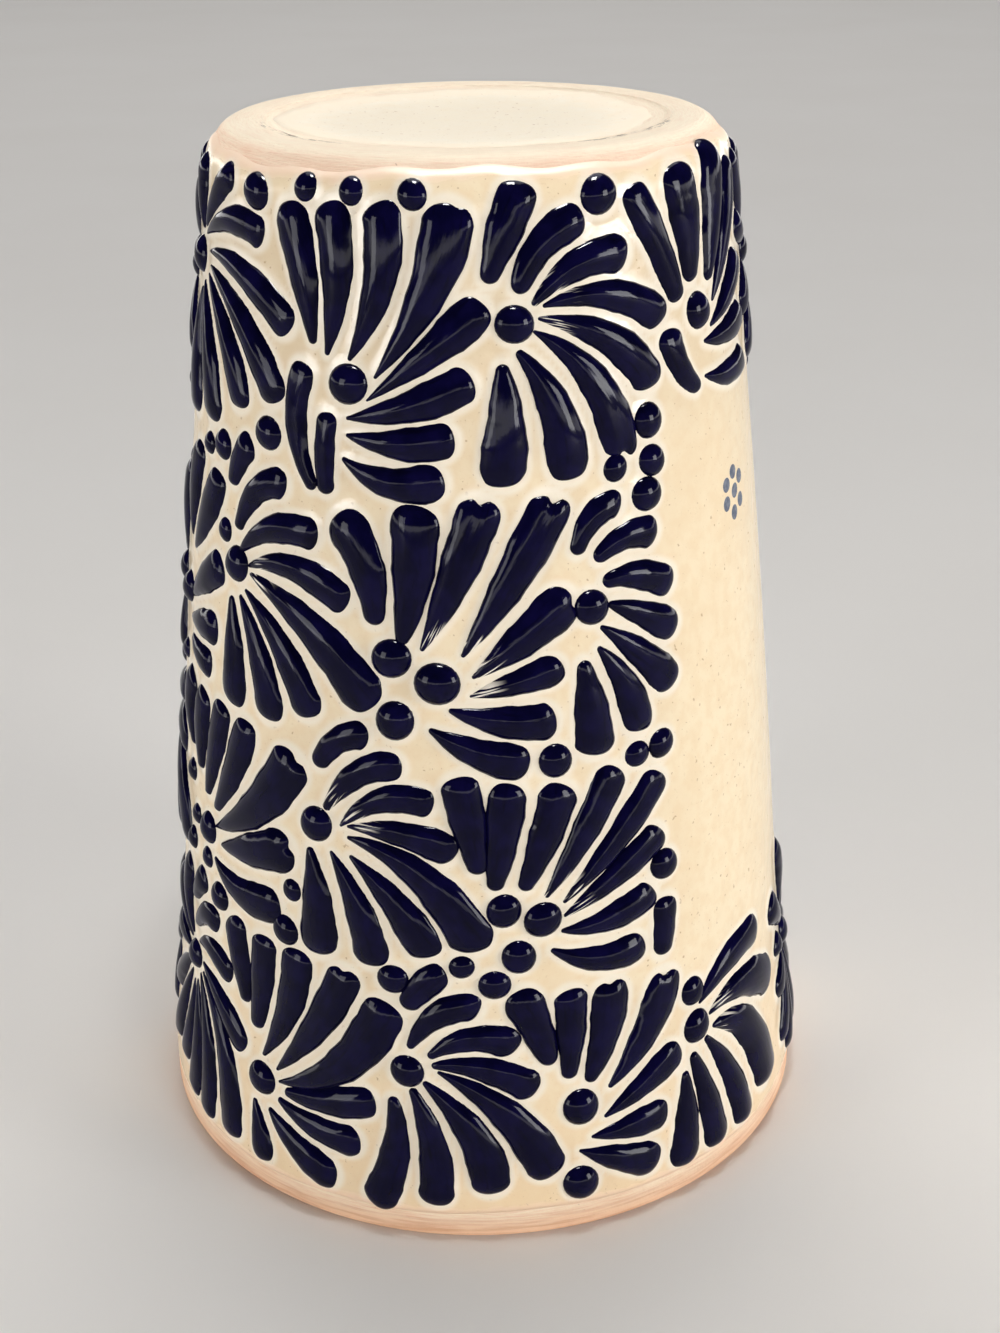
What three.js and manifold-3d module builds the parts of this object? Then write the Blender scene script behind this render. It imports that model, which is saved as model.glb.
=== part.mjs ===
// A hand-decorated ceramic tumbler, standing upside down on its rim.
// Millimetres, +Z up: the rim lies on z = 0 and the foot is on top. Azimuth 0 faces -Y.
import * as THREE from 'three';
import Module from 'manifold-3d';

const wasm = await Module();
wasm.setup();

// Clay body: overall sizes
const HEIGHT = 132;
const RIM_RADIUS = 44.5;
const FOOT_RADIUS = 31;
const WALL_THICKNESS = 4;
const FLOOR_THICKNESS = 5;

// Clay body: shape of the wall, lip, foot and inside corner
const BELLY = 0.95;
const LIP_FLARE = 1.3;
const LIP_FLARE_HEIGHT = 30;
const RIM_ROUNDING = 0.9;
const SHOULDER_HEIGHT = 5.5;
const SHOULDER_DEPTH = 3.6;
const FOOT_RING_WIDTH = 3.2;
const RECESS_DEPTH = 1.4;
const RECESS_SLOPE = 1.2;
const INSIDE_CORNER = 6;

// Glaze coats and the bare bands of clay at the rim and the foot
const GLAZE = 0.35;
const RIM_BARE_BAND = 3.6;
const FOOT_BARE_BAND = 2;
const INSIDE_BARE_BAND = 2.5;
const BASE_GLAZE_MARGIN = 1.5;

// Raised strokes of trailed slip
const RELIEF = 1.2;
const SEAT_CLEARANCE = 0.4;
const STROKE_CLEARANCE = 0.4;
const PATTERN_MARGIN = 0.2;
const TAIL_LIFT = 0.6;
const TRAIL_WIDTH = 1.2;
const TRAIL_RELIEF = 0.9;

// Facets of the turned pieces and of a dot
const SEGMENTS = 40;
const DOT_SIDES = 6;
const RADIANS = Math.PI / 180;

const tumbler = new THREE.Group();

function addPart(name, geometry, color, roughness) {
  const material = new THREE.MeshStandardMaterial({ color, roughness, metalness: 0 });
  const mesh = new THREE.Mesh(geometry, material);
  mesh.name = name;
  tumbler.add(mesh);
}

function turned(profile) {
  const points = profile.map(([radius, z]) => new THREE.Vector2(radius, z));
  return new THREE.LatheGeometry(points, SEGMENTS).rotateX(Math.PI / 2);
}

// Outside of the clay: a slim cone with a slight belly, flared at the lip
const shoulderZ = HEIGHT - SHOULDER_HEIGHT;
const glazeBottom = RIM_BARE_BAND;
const glazeTop = HEIGHT - FOOT_BARE_BAND;

function clayRadius(z) {
  const climb = Math.min(z / shoulderZ, 1);
  const cone = THREE.MathUtils.lerp(RIM_RADIUS - LIP_FLARE, FOOT_RADIUS, climb);
  const belly = BELLY * 4 * climb * (1 - climb);
  const flare = LIP_FLARE * (1 - THREE.MathUtils.smoothstep(z, 0, LIP_FLARE_HEIGHT));
  const round = Math.max(z - shoulderZ, 0) / SHOULDER_HEIGHT;
  const shoulder = SHOULDER_DEPTH * (1 - Math.sqrt(1 - round * round));
  return cone + belly + flare - shoulder;
}

function steps(from, to, count) {
  return Array.from({ length: count }, (_, i) => THREE.MathUtils.lerp(from, to, i / (count - 1)));
}

// The glazed wall, and the bare shoulder above it, as points from the rim up
const wallHeights = [
  glazeBottom,
  LIP_FLARE_HEIGHT / 2,
  ...steps(LIP_FLARE_HEIGHT, shoulderZ, 5),
  (shoulderZ + glazeTop) / 2,
  glazeTop,
];
const glazedWall = wallHeights.map((z) => [clayRadius(z), z]);
const bareShoulder = [0.85, 0.97, 1]
  .map((share) => shoulderZ + SHOULDER_HEIGHT * share)
  .filter((z) => z > glazeTop)
  .map((z) => [clayRadius(z), z]);

function wallAt(z) {
  const above = glazedWall.findIndex(([, height]) => height >= z);
  const i = above < 0 ? glazedWall.length - 1 : Math.max(above, 1);
  const [[r0, z0], [r1, z1]] = [glazedWall[i - 1], glazedWall[i]];
  return THREE.MathUtils.mapLinear(z, z0, z1, r0, r1);
}

// Inside of the clay, from the middle of the floor down to the rim
const footRingOuter = clayRadius(HEIGHT);
const footRingInner = footRingOuter - FOOT_RING_WIDTH;
const recessZ = HEIGHT - RECESS_DEPTH;
const floorZ = recessZ - FLOOR_THICKNESS;
const insideRadius = (z) => clayRadius(z) - WALL_THICKNESS;
const insideGlazeBottom = INSIDE_BARE_BAND;
const cornerCentreR = insideRadius(floorZ - INSIDE_CORNER) - INSIDE_CORNER;
const cornerAngles = steps(90, 0, 4);
const insideCorner = cornerAngles.map((angle) => [
  cornerCentreR + INSIDE_CORNER * Math.cos(angle * RADIANS),
  floorZ - INSIDE_CORNER + INSIDE_CORNER * Math.sin(angle * RADIANS),
]);
const insideWall = [(floorZ - INSIDE_CORNER) / 2, LIP_FLARE_HEIGHT, LIP_FLARE_HEIGHT / 2, insideGlazeBottom]
  .map((z) => [insideRadius(z), z]);
const inside = [[0, floorZ], ...insideCorner, ...insideWall];

// The fired clay: one body with wall, floor, foot ring and rim
const rim = [
  [insideRadius(RIM_ROUNDING), RIM_ROUNDING],
  [insideRadius(0) + RIM_ROUNDING, 0],
  [clayRadius(0) - RIM_ROUNDING, 0],
  [clayRadius(RIM_ROUNDING), RIM_ROUNDING],
];
const recess = [
  [footRingInner, HEIGHT],
  [footRingInner - RECESS_SLOPE, recessZ],
  [footRingInner - RECESS_SLOPE - BASE_GLAZE_MARGIN, recessZ],
  [0, recessZ],
];
const clayProfile = [...inside, ...rim, ...glazedWall, ...bareShoulder, ...recess];
addPart('clay_body', turned(clayProfile), '#f0d3b4', 0.85);

// Cream glaze outside, from the bare rim band to the bare foot
const outerSkin = glazedWall.map(([radius, z]) => [radius + GLAZE, z]);
const outerEdges = [glazedWall[0], ...outerSkin, glazedWall.at(-1)];
const outerBack = glazedWall.slice(0, -1).reverse();
addPart('outer_glaze', turned([...outerEdges, ...outerBack]), '#f5e6c8', 0.2);

// Cream glaze lining the inside
const liner = [
  [0, floorZ - GLAZE],
  ...insideCorner.map(([radius, z], i) => [
    radius - GLAZE * Math.cos(cornerAngles[i] * RADIANS),
    z - GLAZE * Math.sin(cornerAngles[i] * RADIANS),
  ]),
  ...insideWall.map(([radius, z]) => [radius - GLAZE, z]),
];
addPart('inner_glaze', turned([...liner, ...inside.slice().reverse()]), '#f5e6c8', 0.2);

// Glaze in the shallow recess of the foot
const baseGlazeRadius = footRingInner - RECESS_SLOPE - BASE_GLAZE_MARGIN;
addPart('base_glaze', turned([
  [0, recessZ],
  [baseGlazeRadius, recessZ],
  [baseGlazeRadius - GLAZE, recessZ + GLAZE],
  [0, recessZ + GLAZE],
]), '#fbf2dc', 0.25);

// Petal fans. A dot is [degrees, height, diameter], and loose dots stand round the fan. A stroke is
// [tail degrees, tail height, middle degrees, middle height, tip degrees, tip height, width, tail width],
// and a bar is a stroke that stands alone
const FANS = {
  tall_spray: {
    dot: [-22.5, 107.7, 4.6],
    loose: [[-32.3, 128.1, 3.1], [-22, 128.1, 3], [-9.7, 128, 3.3], [-40.8, 100.7, 3.9]],
    strokes: [
      [-29.9, 111.5, -32.6, 119.5, -36.4, 126.5, 4.5, 0.9],
      [-27.1, 110.6, -25, 119.1, -26.7, 127, 4.4, 0.6],
      [-22.4, 110.2, -16.5, 119.1, -16, 127.3, 4.4, 0.5],
      [-17.3, 108.5, -6.8, 118.4, -2.7, 127.2, 5.7, 0.5],
      [-18.7, 106.4, -5.2, 112.3, 4.1, 115.2, 4.2, 0.4],
      [-22.9, 104, -9.1, 106.1, 1.4, 108.2, 4.1, 0.4],
      [-22.9, 102.2, -11.5, 101.6, -2.1, 101.9, 4, 0.4],
      [-23.4, 99.5, -13.9, 97.2, -4.4, 97.3, 4.1, 0.5],
      [-31.8, 109.4, -33.7, 102.4, -30.4, 96.2, 3.3, 1.5],
      [-26.5, 104.3, -26.8, 99.7, -26, 95, 2.6, 2.2],
    ],
  },
  wide_spray: {
    dot: [9.1, 114.3, 4.3],
    loose: [[26.9, 127, 4.4], [27.9, 97.5, 2.9], [35.9, 102, 4], [36.2, 97.4, 3.5], [34.5, 93.7, 4]],
    strokes: [
      [4.4, 118.8, 7.5, 124.1, 10.4, 129.3, 4.6, 2.2],
      [10, 117.6, 14.7, 122.6, 24, 124.3, 3.9, 1.9],
      [12.6, 116.1, 22, 120.6, 33.2, 120.7, 3.9, 0.6],
      [14.5, 116, 29, 116.7, 41.5, 113.3, 3.8, 0.5],
      [13.5, 114.8, 29, 112, 38.2, 106.2, 4.2, 0.4],
      [12.5, 113.6, 25, 107.5, 30, 99.2, 4.4, 0.4],
      [9.4, 111.4, 16.2, 104.5, 18.5, 96.8, 4.4, 0.8],
      [6.4, 110.1, 7, 103.4, 5.8, 96.7, 4.3, 1.2],
    ],
  },
  panel_top: {
    dot: [51.2, 112.9, 4.4],
    strokes: [
      [45, 114.6, 40.3, 121.3, 34, 128, 3.6, 2.6],
      [49, 116.3, 49.2, 122.7, 47.5, 129.5, 5.5, 2],
      [55.3, 115.8, 59.3, 122.8, 61.8, 129.8, 5, 1.4],
      [56.8, 113.3, 65.5, 121, 71.5, 128.4, 4.2, 0.5],
      [55.3, 110.7, 64.5, 113.6, 72.5, 117.5, 3.9, 0.5],
      [52.5, 109.3, 63, 109.3, 72.8, 110.5, 3.8, 0.4],
      [52, 105.4, 62.5, 104.4, 72, 105.2, 3.6, 0.4],
      [42, 112, 45.2, 107.2, 50.3, 104.4, 3.5, 1.7],
    ],
  },
  foot_spray: {
    dot: [-71.8, 117.6, 4.4],
    loose: [[-45.7, 127.1, 4.2]],
    strokes: [
      [-71, 120.5, -73, 125, -72.5, 129, 4, 0.6],
      [-69.4, 121, -60.8, 126.1, -54.3, 128.2, 3.3, 0.5],
      [-68.8, 120.2, -54.7, 123.1, -43, 122, 3.6, 0.4],
      [-66, 118.5, -50, 117.8, -35, 112.6, 3.9, 0.4],
      [-65, 117, -50, 112.8, -38, 104.3, 4.2, 0.4],
      [-66, 116, -55, 110, -48.6, 102.4, 4.1, 0.4],
      [-68.5, 115, -62.5, 106.5, -59.8, 99.3, 4.6, 0.5],
      [-70.5, 114, -71.5, 106, -71, 98.6, 4.4, 0.5],
    ],
  },
  small_crown: {
    dot: [88, 116, 4.4],
    loose: [[94.5, 101, 3]],
    strokes: [
      [86, 118, 81.5, 122.5, 77.5, 128.5, 3.9, 0.5],
      [85.3, 117, 80.5, 118.6, 75.8, 121, 3.6, 0.5],
      [85, 115, 80.5, 112.5, 76, 109.5, 3.9, 0.5],
      [86.5, 113.5, 83.5, 108.5, 80, 103.5, 4, 0.5],
      [89, 113, 89.8, 107.5, 89.5, 101.8, 4, 0.6],
      [88.3, 118.8, 88, 123.5, 87, 129, 3.9, 0.6],
      [90.3, 117.6, 94.5, 121.5, 98, 126.5, 3.6, 0.5],
      [91, 115.5, 96, 115.4, 100.8, 116.3, 3.4, 0.5],
      [90.5, 114, 95.5, 110, 98.5, 104.5, 3.9, 0.5],
    ],
  },
  left_shower: {
    dot: [-48.7, 83.9, 4.5],
    loose: [[-53.2, 87.3, 3], [-54.7, 97.4, 3.7], [-61, 96.6, 2.9]],
    strokes: [
      [-50.8, 93.2, -48.6, 96.4, -44.9, 99.3, 3.5, 1.6],
      [-48.6, 88.2, -43, 93.6, -35.2, 95.2, 3.5, 1.5],
      [-47.5, 86, -38.5, 90, -28, 90.3, 3.8, 0.8],
      [-45.5, 84.5, -33.5, 86.2, -21.8, 83, 4, 0.5],
      [-45, 83.6, -29.5, 79, -18, 70.4, 5.4, 0.5],
      [-46.5, 81.2, -36.5, 76, -29.5, 68, 4.3, 0.5],
      [-48, 80.3, -42, 73.8, -38.8, 66, 4.4, 0.6],
      [-50.7, 79.7, -49.5, 72.7, -49.6, 65.8, 4.6, 0.9],
    ],
  },
  edge_spray: {
    dot: [-72.5, 76, 4.4],
    strokes: [
      [-71.5, 83, -69, 89.5, -66.5, 96, 4.2, 0.5],
      [-68.5, 82, -61.5, 87.5, -55.5, 94, 4.6, 0.5],
      [-69.5, 75.5, -60.5, 80, -53.4, 83, 4.5, 0.5],
      [-69.5, 73, -61.5, 73.6, -54.9, 74.3, 4.4, 0.5],
      [-69, 70.5, -63, 69.2, -57.2, 69, 3.8, 0.4],
    ],
  },
  centre_spray: {
    dot: [-6.3, 74.3, 5.2],
    loose: [[-14.1, 77, 4.7], [-13.4, 69.6, 4.7], [14.3, 64.3, 4.1]],
    strokes: [
      [-17.2, 80.8, -18.8, 87.8, -24, 93.2, 4.7, 2],
      [-12.5, 79.4, -10.4, 86.5, -9.9, 94.9, 5.3, 0.9],
      [-9.4, 78.4, -3.2, 86.6, 2.3, 95.3, 4.9, 0.5],
      [-2.2, 77.9, 6.2, 86, 15, 94.7, 5, 0.5],
      [-0.5, 75.3, 9, 79.8, 17.8, 83.6, 5, 0.4],
      [-0.8, 73, 8, 74.4, 16.3, 75.8, 3.6, 0.4],
      [-4.1, 71.3, 5.4, 69.8, 14.7, 69.3, 4.3, 0.5],
      [-7.6, 68.9, 1, 66, 9.9, 64.3, 4.3, 0.6],
    ],
  },
  panel_side: {
    dot: [21.7, 82.3, 4.2],
    loose: [[29.8, 63.25, 3.2], [35, 63.5, 3.7]],
    strokes: [
      [18.9, 88.6, 22.6, 92.8, 28.5, 93.8, 3.4, 1.6],
      [22.5, 87.6, 29, 89.8, 36.2, 89.3, 3.6, 1.5],
      [24, 85, 31.5, 85.2, 39.3, 82.9, 3.8, 1.5],
      [24.8, 82.5, 33, 80.1, 39.8, 77.3, 3.8, 0.7],
      [23, 79.9, 31.3, 75.6, 38.8, 70.4, 4.1, 0.5],
      [22.3, 77.4, 27.8, 71.8, 30.2, 65.9, 4.1, 0.6],
      [19.6, 75.9, 21, 70, 21.6, 64.2, 4.8, 1.4],
    ],
  },
  side_burst: {
    dot: [-82, 76.5, 4.2],
    loose: [[-93, 89, 3.6], [-74.5, 67, 3]],
    strokes: [
      [-83, 79, -86, 84, -87, 90, 4.2, 0.6],
      [-84, 77.5, -89, 80.5, -94, 82.5, 4, 0.5],
      [-84.2, 76, -89.5, 75, -95, 74.5, 3.9, 0.5],
      [-83.5, 74.8, -87, 72.4, -90.5, 71.3, 3.4, 0.5],
      [-81.5, 73.8, -81.5, 69.5, -80.5, 65, 4, 0.6],
      [-80.8, 79, -79, 85, -78, 91.5, 4, 0.6],
    ],
  },
  left_plume: {
    dot: [-58.2, 46.8, 4.2],
    loose: [[-58.6, 42.4, 3], [-53.4, 38.4, 4.1], [-64.2, 46.8, 3], [-66.5, 42.6, 3.4], [-67.3, 52.2, 3.2]],
    strokes: [
      [-66, 56, -69, 61, -68.5, 66, 4.2, 1.2],
      [-62, 53.9, -62, 60, -61.3, 65.2, 4.5, 1.4],
      [-59, 51.3, -55.8, 58.8, -53.4, 65.4, 4.3, 1.3],
      [-55.6, 50.4, -49.8, 57.7, -46, 64.9, 4.6, 1.3],
      [-55.5, 48, -44, 55, -34, 63.2, 5.6, 0.5],
      [-53, 46, -43, 48.3, -33.8, 50.5, 5, 0.5],
      [-55.8, 43.4, -46, 41, -36.3, 42, 5, 0.5],
    ],
  },
  middle_fall: {
    dot: [-28.5, 54.8, 4.6],
    loose: [[-33.8, 44.9, 2.8], [-34.8, 38.6, 4], [-14.1, 36.1, 3.9], [-2.3, 38.5, 3.1]],
    strokes: [
      [-28.3, 62.4, -24, 66.2, -18.4, 67.2, 3.3, 2],
      [-26.7, 57.2, -20, 62.6, -12.3, 63.8, 3.6, 0.9],
      [-23.8, 55.2, -15.5, 59.5, -6.6, 59.2, 3.7, 0.4],
      [-22.5, 55.4, -11.5, 55.5, -4.2, 54.2, 4, 0.4],
      [-22.5, 54.2, -9, 50.6, 0.8, 40.8, 4.7, 0.5],
      [-22, 51.6, -14, 46.2, -7.9, 39.5, 4.5, 0.5],
      [-25.8, 51.8, -20.6, 44.6, -18, 37.5, 4.3, 0.5],
      [-30, 51.5, -28.4, 44.6, -28.2, 37.4, 5, 0.9],
    ],
  },
  right_plume: {
    dot: [11.1, 44.3, 4.5],
    loose: [[4.7, 45.75, 4.3], [7.1, 39.5, 4.3], [34.4, 47.7, 4.2], [2.8, 35.9, 3.9]],
    bars: [[33.4, 35.4, 34.2, 39.5, 34.5, 43.4, 3.6, 2.4]],
    strokes: [
      [0.6, 50.7, -0.9, 56.8, -2.4, 63, 4.5, 2],
      [3.2, 48.4, 5, 55.2, 6.2, 62.1, 4.5, 1.8],
      [7.9, 48.3, 11.8, 54.9, 14.7, 61.3, 4.5, 1.5],
      [11.5, 47.3, 18.6, 54.8, 24.6, 62.3, 4.1, 0.6],
      [14.6, 46.2, 24.8, 54, 33.6, 60.2, 4.1, 0.5],
      [14.6, 44.3, 25, 49.1, 34.2, 52.8, 4.1, 0.5],
      [14, 42.5, 22.8, 42.8, 32.3, 44.8, 3.9, 0.5],
      [12.2, 40.2, 21, 37.9, 30, 38.3, 3.9, 0.6],
    ],
  },
  rim_edge: {
    dot: [-63.9, 25.9, 4.3],
    strokes: [
      [-64.7, 34.4, -62.2, 37, -59.2, 39.6, 3.6, 1.6],
      [-63.4, 30.6, -58.8, 33.8, -53.4, 33.8, 3.7, 1.4],
      [-62.2, 28.4, -55.8, 29.6, -49.1, 27.5, 3.8, 0.7],
      [-60.5, 26, -52, 23.3, -44.9, 18.6, 4, 0.5],
      [-60.5, 24.5, -51, 17.6, -47.3, 4.8, 4.5, 0.5],
      [-61.5, 24, -55.9, 14.5, -55.4, 4.5, 3.9, 0.5],
      [-62.8, 22.5, -60, 13, -61.8, 5.6, 3.6, 0.5],
      [-64.2, 22, -65, 15, -67.6, 8.6, 3.4, 0.5],
      [-65.5, 23, -69.5, 17, -74, 9, 3.8, 0.5],
      [-66.5, 24, -71.5, 21, -77, 16.5, 3.8, 0.5],
      [-67, 25.8, -72.5, 26, -78, 27, 3.8, 0.5],
      [-66.3, 27.5, -71.5, 30.5, -76, 35.5, 4, 0.5],
      [-65.5, 28.3, -69, 33.5, -68, 39, 4, 0.6],
    ],
  },
  rim_left: {
    dot: [-40.3, 16.5, 4.7],
    strokes: [
      [-45.1, 25.8, -46.9, 31.8, -48.8, 37.1, 4.4, 1.8],
      [-42.1, 23.1, -40.8, 30, -40.3, 37, 4.4, 2],
      [-40.4, 19.8, -34.8, 28.6, -32.9, 37.1, 4.6, 0.6],
      [-37, 18.7, -28.4, 27.6, -22.7, 36.2, 4.6, 0.5],
      [-36.5, 17.2, -24.5, 23.6, -15.8, 33, 5.4, 0.4],
      [-34.8, 16.3, -26, 17.2, -16.9, 18.8, 4.4, 1.2],
      [-36.4, 14.8, -28.4, 12.9, -19.6, 12.3, 4.1, 0.8],
      [-38.4, 12.8, -31.6, 8.9, -24.2, 6.1, 4.4, 0.7],
      [-42, 13, -40.2, 8.6, -39.3, 4.4, 3.7, 0.6],
    ],
  },
  rim_fall: {
    dot: [-12.1, 23.6, 4.3],
    strokes: [
      [-12.3, 32.3, -9.3, 35.4, -5.6, 37.9, 3.5, 2.4],
      [-11.8, 26.9, -7, 32.3, 0.6, 33, 3.8, 0.8],
      [-8.5, 25.8, -1, 28.6, 7, 27.4, 3.9, 0.9],
      [-8, 24.6, 1, 24.3, 9.8, 20.9, 4.1, 0.8],
      [-7, 23.9, 4.2, 17.8, 11.5, 8.6, 4.9, 0.5],
      [-9.4, 22.4, -1, 14.8, 1.4, 6.9, 4.8, 0.7],
      [-11.5, 21.4, -7.8, 13.2, -7.7, 5.1, 4.2, 1],
      [-14.7, 19.8, -14, 12.2, -17.2, 3.9, 4.3, 1.3],
    ],
  },
  rim_right: {
    dot: [17, 17.9, 4.8],
    loose: [[16.7, 7.1, 4.7]],
    strokes: [
      [11.8, 24.3, 9.3, 29.8, 6.6, 35, 4.5, 2],
      [15, 22, 15.7, 28.2, 15.7, 34.5, 4.2, 1.7],
      [18.4, 21, 21.8, 28, 22.6, 34.2, 4.8, 1.5],
      [22.2, 19.8, 30, 26.2, 34.6, 32.9, 5.2, 0.6],
      [20.9, 15.7, 29.3, 18.8, 36.6, 21.6, 4.1, 0.5],
      [18.4, 13.4, 25.5, 13.4, 33.3, 13.7, 4.2, 0.4],
      [16.2, 11.9, 23.6, 9.4, 31, 7.2, 4.5, 0.4],
    ],
  },
  rim_panel: {
    dot: [40.6, 23.2, 4.7],
    loose: [[40.2, 28.3, 3.9]],
    strokes: [
      [41.5, 26, 50.5, 30, 61.3, 30.4, 4.5, 0.4],
      [43.8, 23.7, 54.3, 25.1, 66, 21, 4.7, 0.5],
      [44.5, 21.8, 54.3, 17.2, 60.8, 6.8, 5.6, 0.6],
      [42.5, 21, 48.8, 13, 51.7, 4.6, 4.3, 0.8],
      [39.2, 19.6, 42.3, 12, 44, 4.4, 4.3, 1.2],
      [37.4, 17.7, 37.2, 11.1, 35.8, 4.3, 4.6, 1],
    ],
  },
  rim_crown: {
    dot: [80.5, 21.5, 4.5],
    strokes: [
      [78, 23.5, 73, 27.5, 67.3, 30.8, 4.6, 0.6],
      [77.6, 21.5, 73.5, 22, 69.5, 23.5, 3.8, 0.5],
      [78, 19.5, 73, 17, 67.5, 14.5, 4, 0.5],
      [79, 18.3, 74, 12.5, 68.5, 7, 4.2, 0.5],
      [80, 18, 77.5, 11, 75.5, 4.6, 4, 0.6],
      [81.5, 18, 83, 11, 83, 4.6, 4.2, 0.6],
      [83, 19.5, 88, 14, 91, 7.5, 4.2, 0.5],
      [83.5, 21.5, 88.5, 20.5, 93.5, 18.5, 3.8, 0.5],
      [83.2, 23, 88, 26.5, 91.5, 31.5, 4.2, 0.5],
      [81, 25, 81.5, 30, 80, 35.5, 4.2, 0.6],
    ],
  },
};

// Where each fan stands: drawn in place, again half a turn on, and, without loose dots, where the
// back needs more
const HALF_TURN = 180;
const BACK_FANS = [
  ['centre_spray', 246],
  ['right_plume', 224.5],
  ['middle_fall', -71],
];
const FRONT_ONLY = ['side_burst'];
const drawn = Object.keys(FANS);
const placements = [
  ...drawn.map((name) => [name, 0]),
  ...drawn.filter((name) => !FRONT_ONLY.includes(name)).map((name) => [name, HALF_TURN]),
  ...BACK_FANS,
];
const withoutLoose = ({ dot, strokes }) => ({ dot, strokes });

// The drawn heights fill the glazed wall from edge to edge
const tips = Object.values(FANS).flatMap((fan) => fan.strokes.map((stroke) => stroke[5]));
const drawnTop = Math.max(...tips);
const drawnBottom = Math.min(...tips);

function heightOnWall(height) {
  const low = glazeBottom + PATTERN_MARGIN;
  const high = glazeTop - PATTERN_MARGIN;
  return THREE.MathUtils.mapLinear(height, drawnBottom, drawnTop, low, high);
}

function onWall(degrees, height, lift) {
  const z = heightOnWall(height);
  const radius = wallAt(z) + GLAZE + SEAT_CLEARANCE + lift;
  const turn = degrees * RADIANS;
  return [radius * Math.sin(turn), -radius * Math.cos(turn), z];
}

const millimetresPerDegree = (height) => wallAt(heightOnWall(height)) * RADIANS;

function solid(points, triangles) {
  const mesh = new wasm.Mesh({
    numProp: 3,
    vertProperties: new Float32Array(points.flat()),
    triVerts: new Uint32Array(triangles.flat()),
  });
  return new wasm.Manifold(mesh);
}

// A closed skin over rings of equal length, pinched to a point or capped at each end
function skin(first, rings, last) {
  const size = rings[0].length;
  const points = [first, ...rings.flat(), last];
  const end = points.length - 1;
  const at = (ring, i) => 1 + ring * size + (i % size);
  const faces = [];
  for (let i = 0; i < size; i += 1) {
    faces.push([0, at(0, i + 1), at(0, i)]);
    faces.push([end, at(rings.length - 1, i), at(rings.length - 1, i + 1)]);
    for (let ring = 0; ring + 1 < rings.length; ring += 1) {
      faces.push([at(ring, i), at(ring, i + 1), at(ring + 1, i)]);
      faces.push([at(ring, i + 1), at(ring + 1, i + 1), at(ring + 1, i)]);
    }
  }
  return solid(points, faces);
}

// Sections of a stroke: [share of its length, fullness]
const STROKE_SECTIONS = [[0.45, 0.8], [0.93, 0.96]];
const CROWN_SHARE = 0.62;
const NOSE_SHARE = 0.35;

function spineOf([d0, h0, d1, h1, d2, h2]) {
  const bend = new THREE.Vector2(2 * d1 - (d0 + d2) / 2, 2 * h1 - (h0 + h2) / 2);
  return new THREE.QuadraticBezierCurve(new THREE.Vector2(d0, h0), bend, new THREE.Vector2(d2, h2));
}

function spinePoint(line, along) {
  const { x, y } = spineOf(line).getPoint(along);
  return [x, y];
}

// One brush stroke: a bent teardrop lying on the wall, its tail drawn out to the fan's dot
function stroke(line, hub) {
  const [, , , middleHeight, tipDegrees, tipHeight, width, tailWidth] = line;
  const spine = spineOf(line);
  const scale = millimetresPerDegree(middleHeight);
  const rings = STROKE_SECTIONS.map(([along, fullness]) => {
    const centre = spine.getPoint(along);
    const run = spine.getTangent(along);
    const side = new THREE.Vector2(-run.y, run.x * scale).normalize();
    const half = (THREE.MathUtils.lerp(tailWidth, width, fullness) - STROKE_CLEARANCE) / 2;
    const corner = (across, lift) =>
      onWall(centre.x + (side.x * across * half) / scale, centre.y + side.y * across * half, lift);
    const top = RELIEF * fullness;
    return [corner(1, 0), corner(CROWN_SHARE, top), corner(-CROWN_SHARE, top), corner(-1, 0)];
  });
  return skin(onWall(hub[0], hub[1], TAIL_LIFT), rings, onWall(tipDegrees, tipHeight, RELIEF * NOSE_SHARE));
}

function dot([degrees, height, diameter]) {
  const scale = millimetresPerDegree(height);
  const ring = (radius, lift) => Array.from({ length: DOT_SIDES }, (_, i) => {
    const turn = (i * 2 * Math.PI) / DOT_SIDES;
    return onWall(degrees + (radius * Math.cos(turn)) / scale, height + radius * Math.sin(turn), lift);
  });
  const radius = (diameter - STROKE_CLEARANCE) / 2;
  const rings = [ring(radius, 0), ring(radius * CROWN_SHARE, RELIEF)];
  return skin(onWall(degrees, height, 0), rings, onWall(degrees, height, RELIEF));
}

// A thin trail of slip from a loose dot to the nearest part of its fan
function trail([d0, h0], [d1, h1]) {
  const scale = millimetresPerDegree(h0);
  const run = new THREE.Vector2((d1 - d0) * scale, h1 - h0).normalize();
  const half = TRAIL_WIDTH / 2;
  const corner = (across, lift) =>
    onWall((d0 + d1) / 2 - (run.y * across * half) / scale, (h0 + h1) / 2 + run.x * across * half, lift);
  const ring = [corner(1, 0), corner(0, TRAIL_RELIEF), corner(-1, 0)];
  return skin(onWall(d0, h0, TAIL_LIFT), [ring], onWall(d1, h1, TAIL_LIFT));
}

function nearest([degrees, height], places) {
  const scale = millimetresPerDegree(height);
  const away = ([d, h]) => Math.hypot((d - degrees) * scale, h - height);
  return places.reduce((best, place) => (away(place) < away(best) ? place : best));
}

function fan({ dot: hub, strokes, loose = [], bars = [] }) {
  const petals = strokes.map((line) => stroke(line, hub));
  const places = [hub, ...strokes.flatMap((line) => [0.5, 0.8].map((along) => spinePoint(line, along)))];
  const tie = (spot) => {
    const trailed = trail(spot, nearest(spot, places));
    places.push(spot);
    return trailed;
  };
  const dots = loose.flatMap((spot) => [dot(spot), tie(spot)]);
  const short = bars.flatMap((line) => [stroke(line, line.slice(0, 2)), tie(spinePoint(line, 0.5))]);
  return [...petals, ...dots, ...short].reduce((whole, piece) => whole.add(piece), dot(hub));
}

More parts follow.
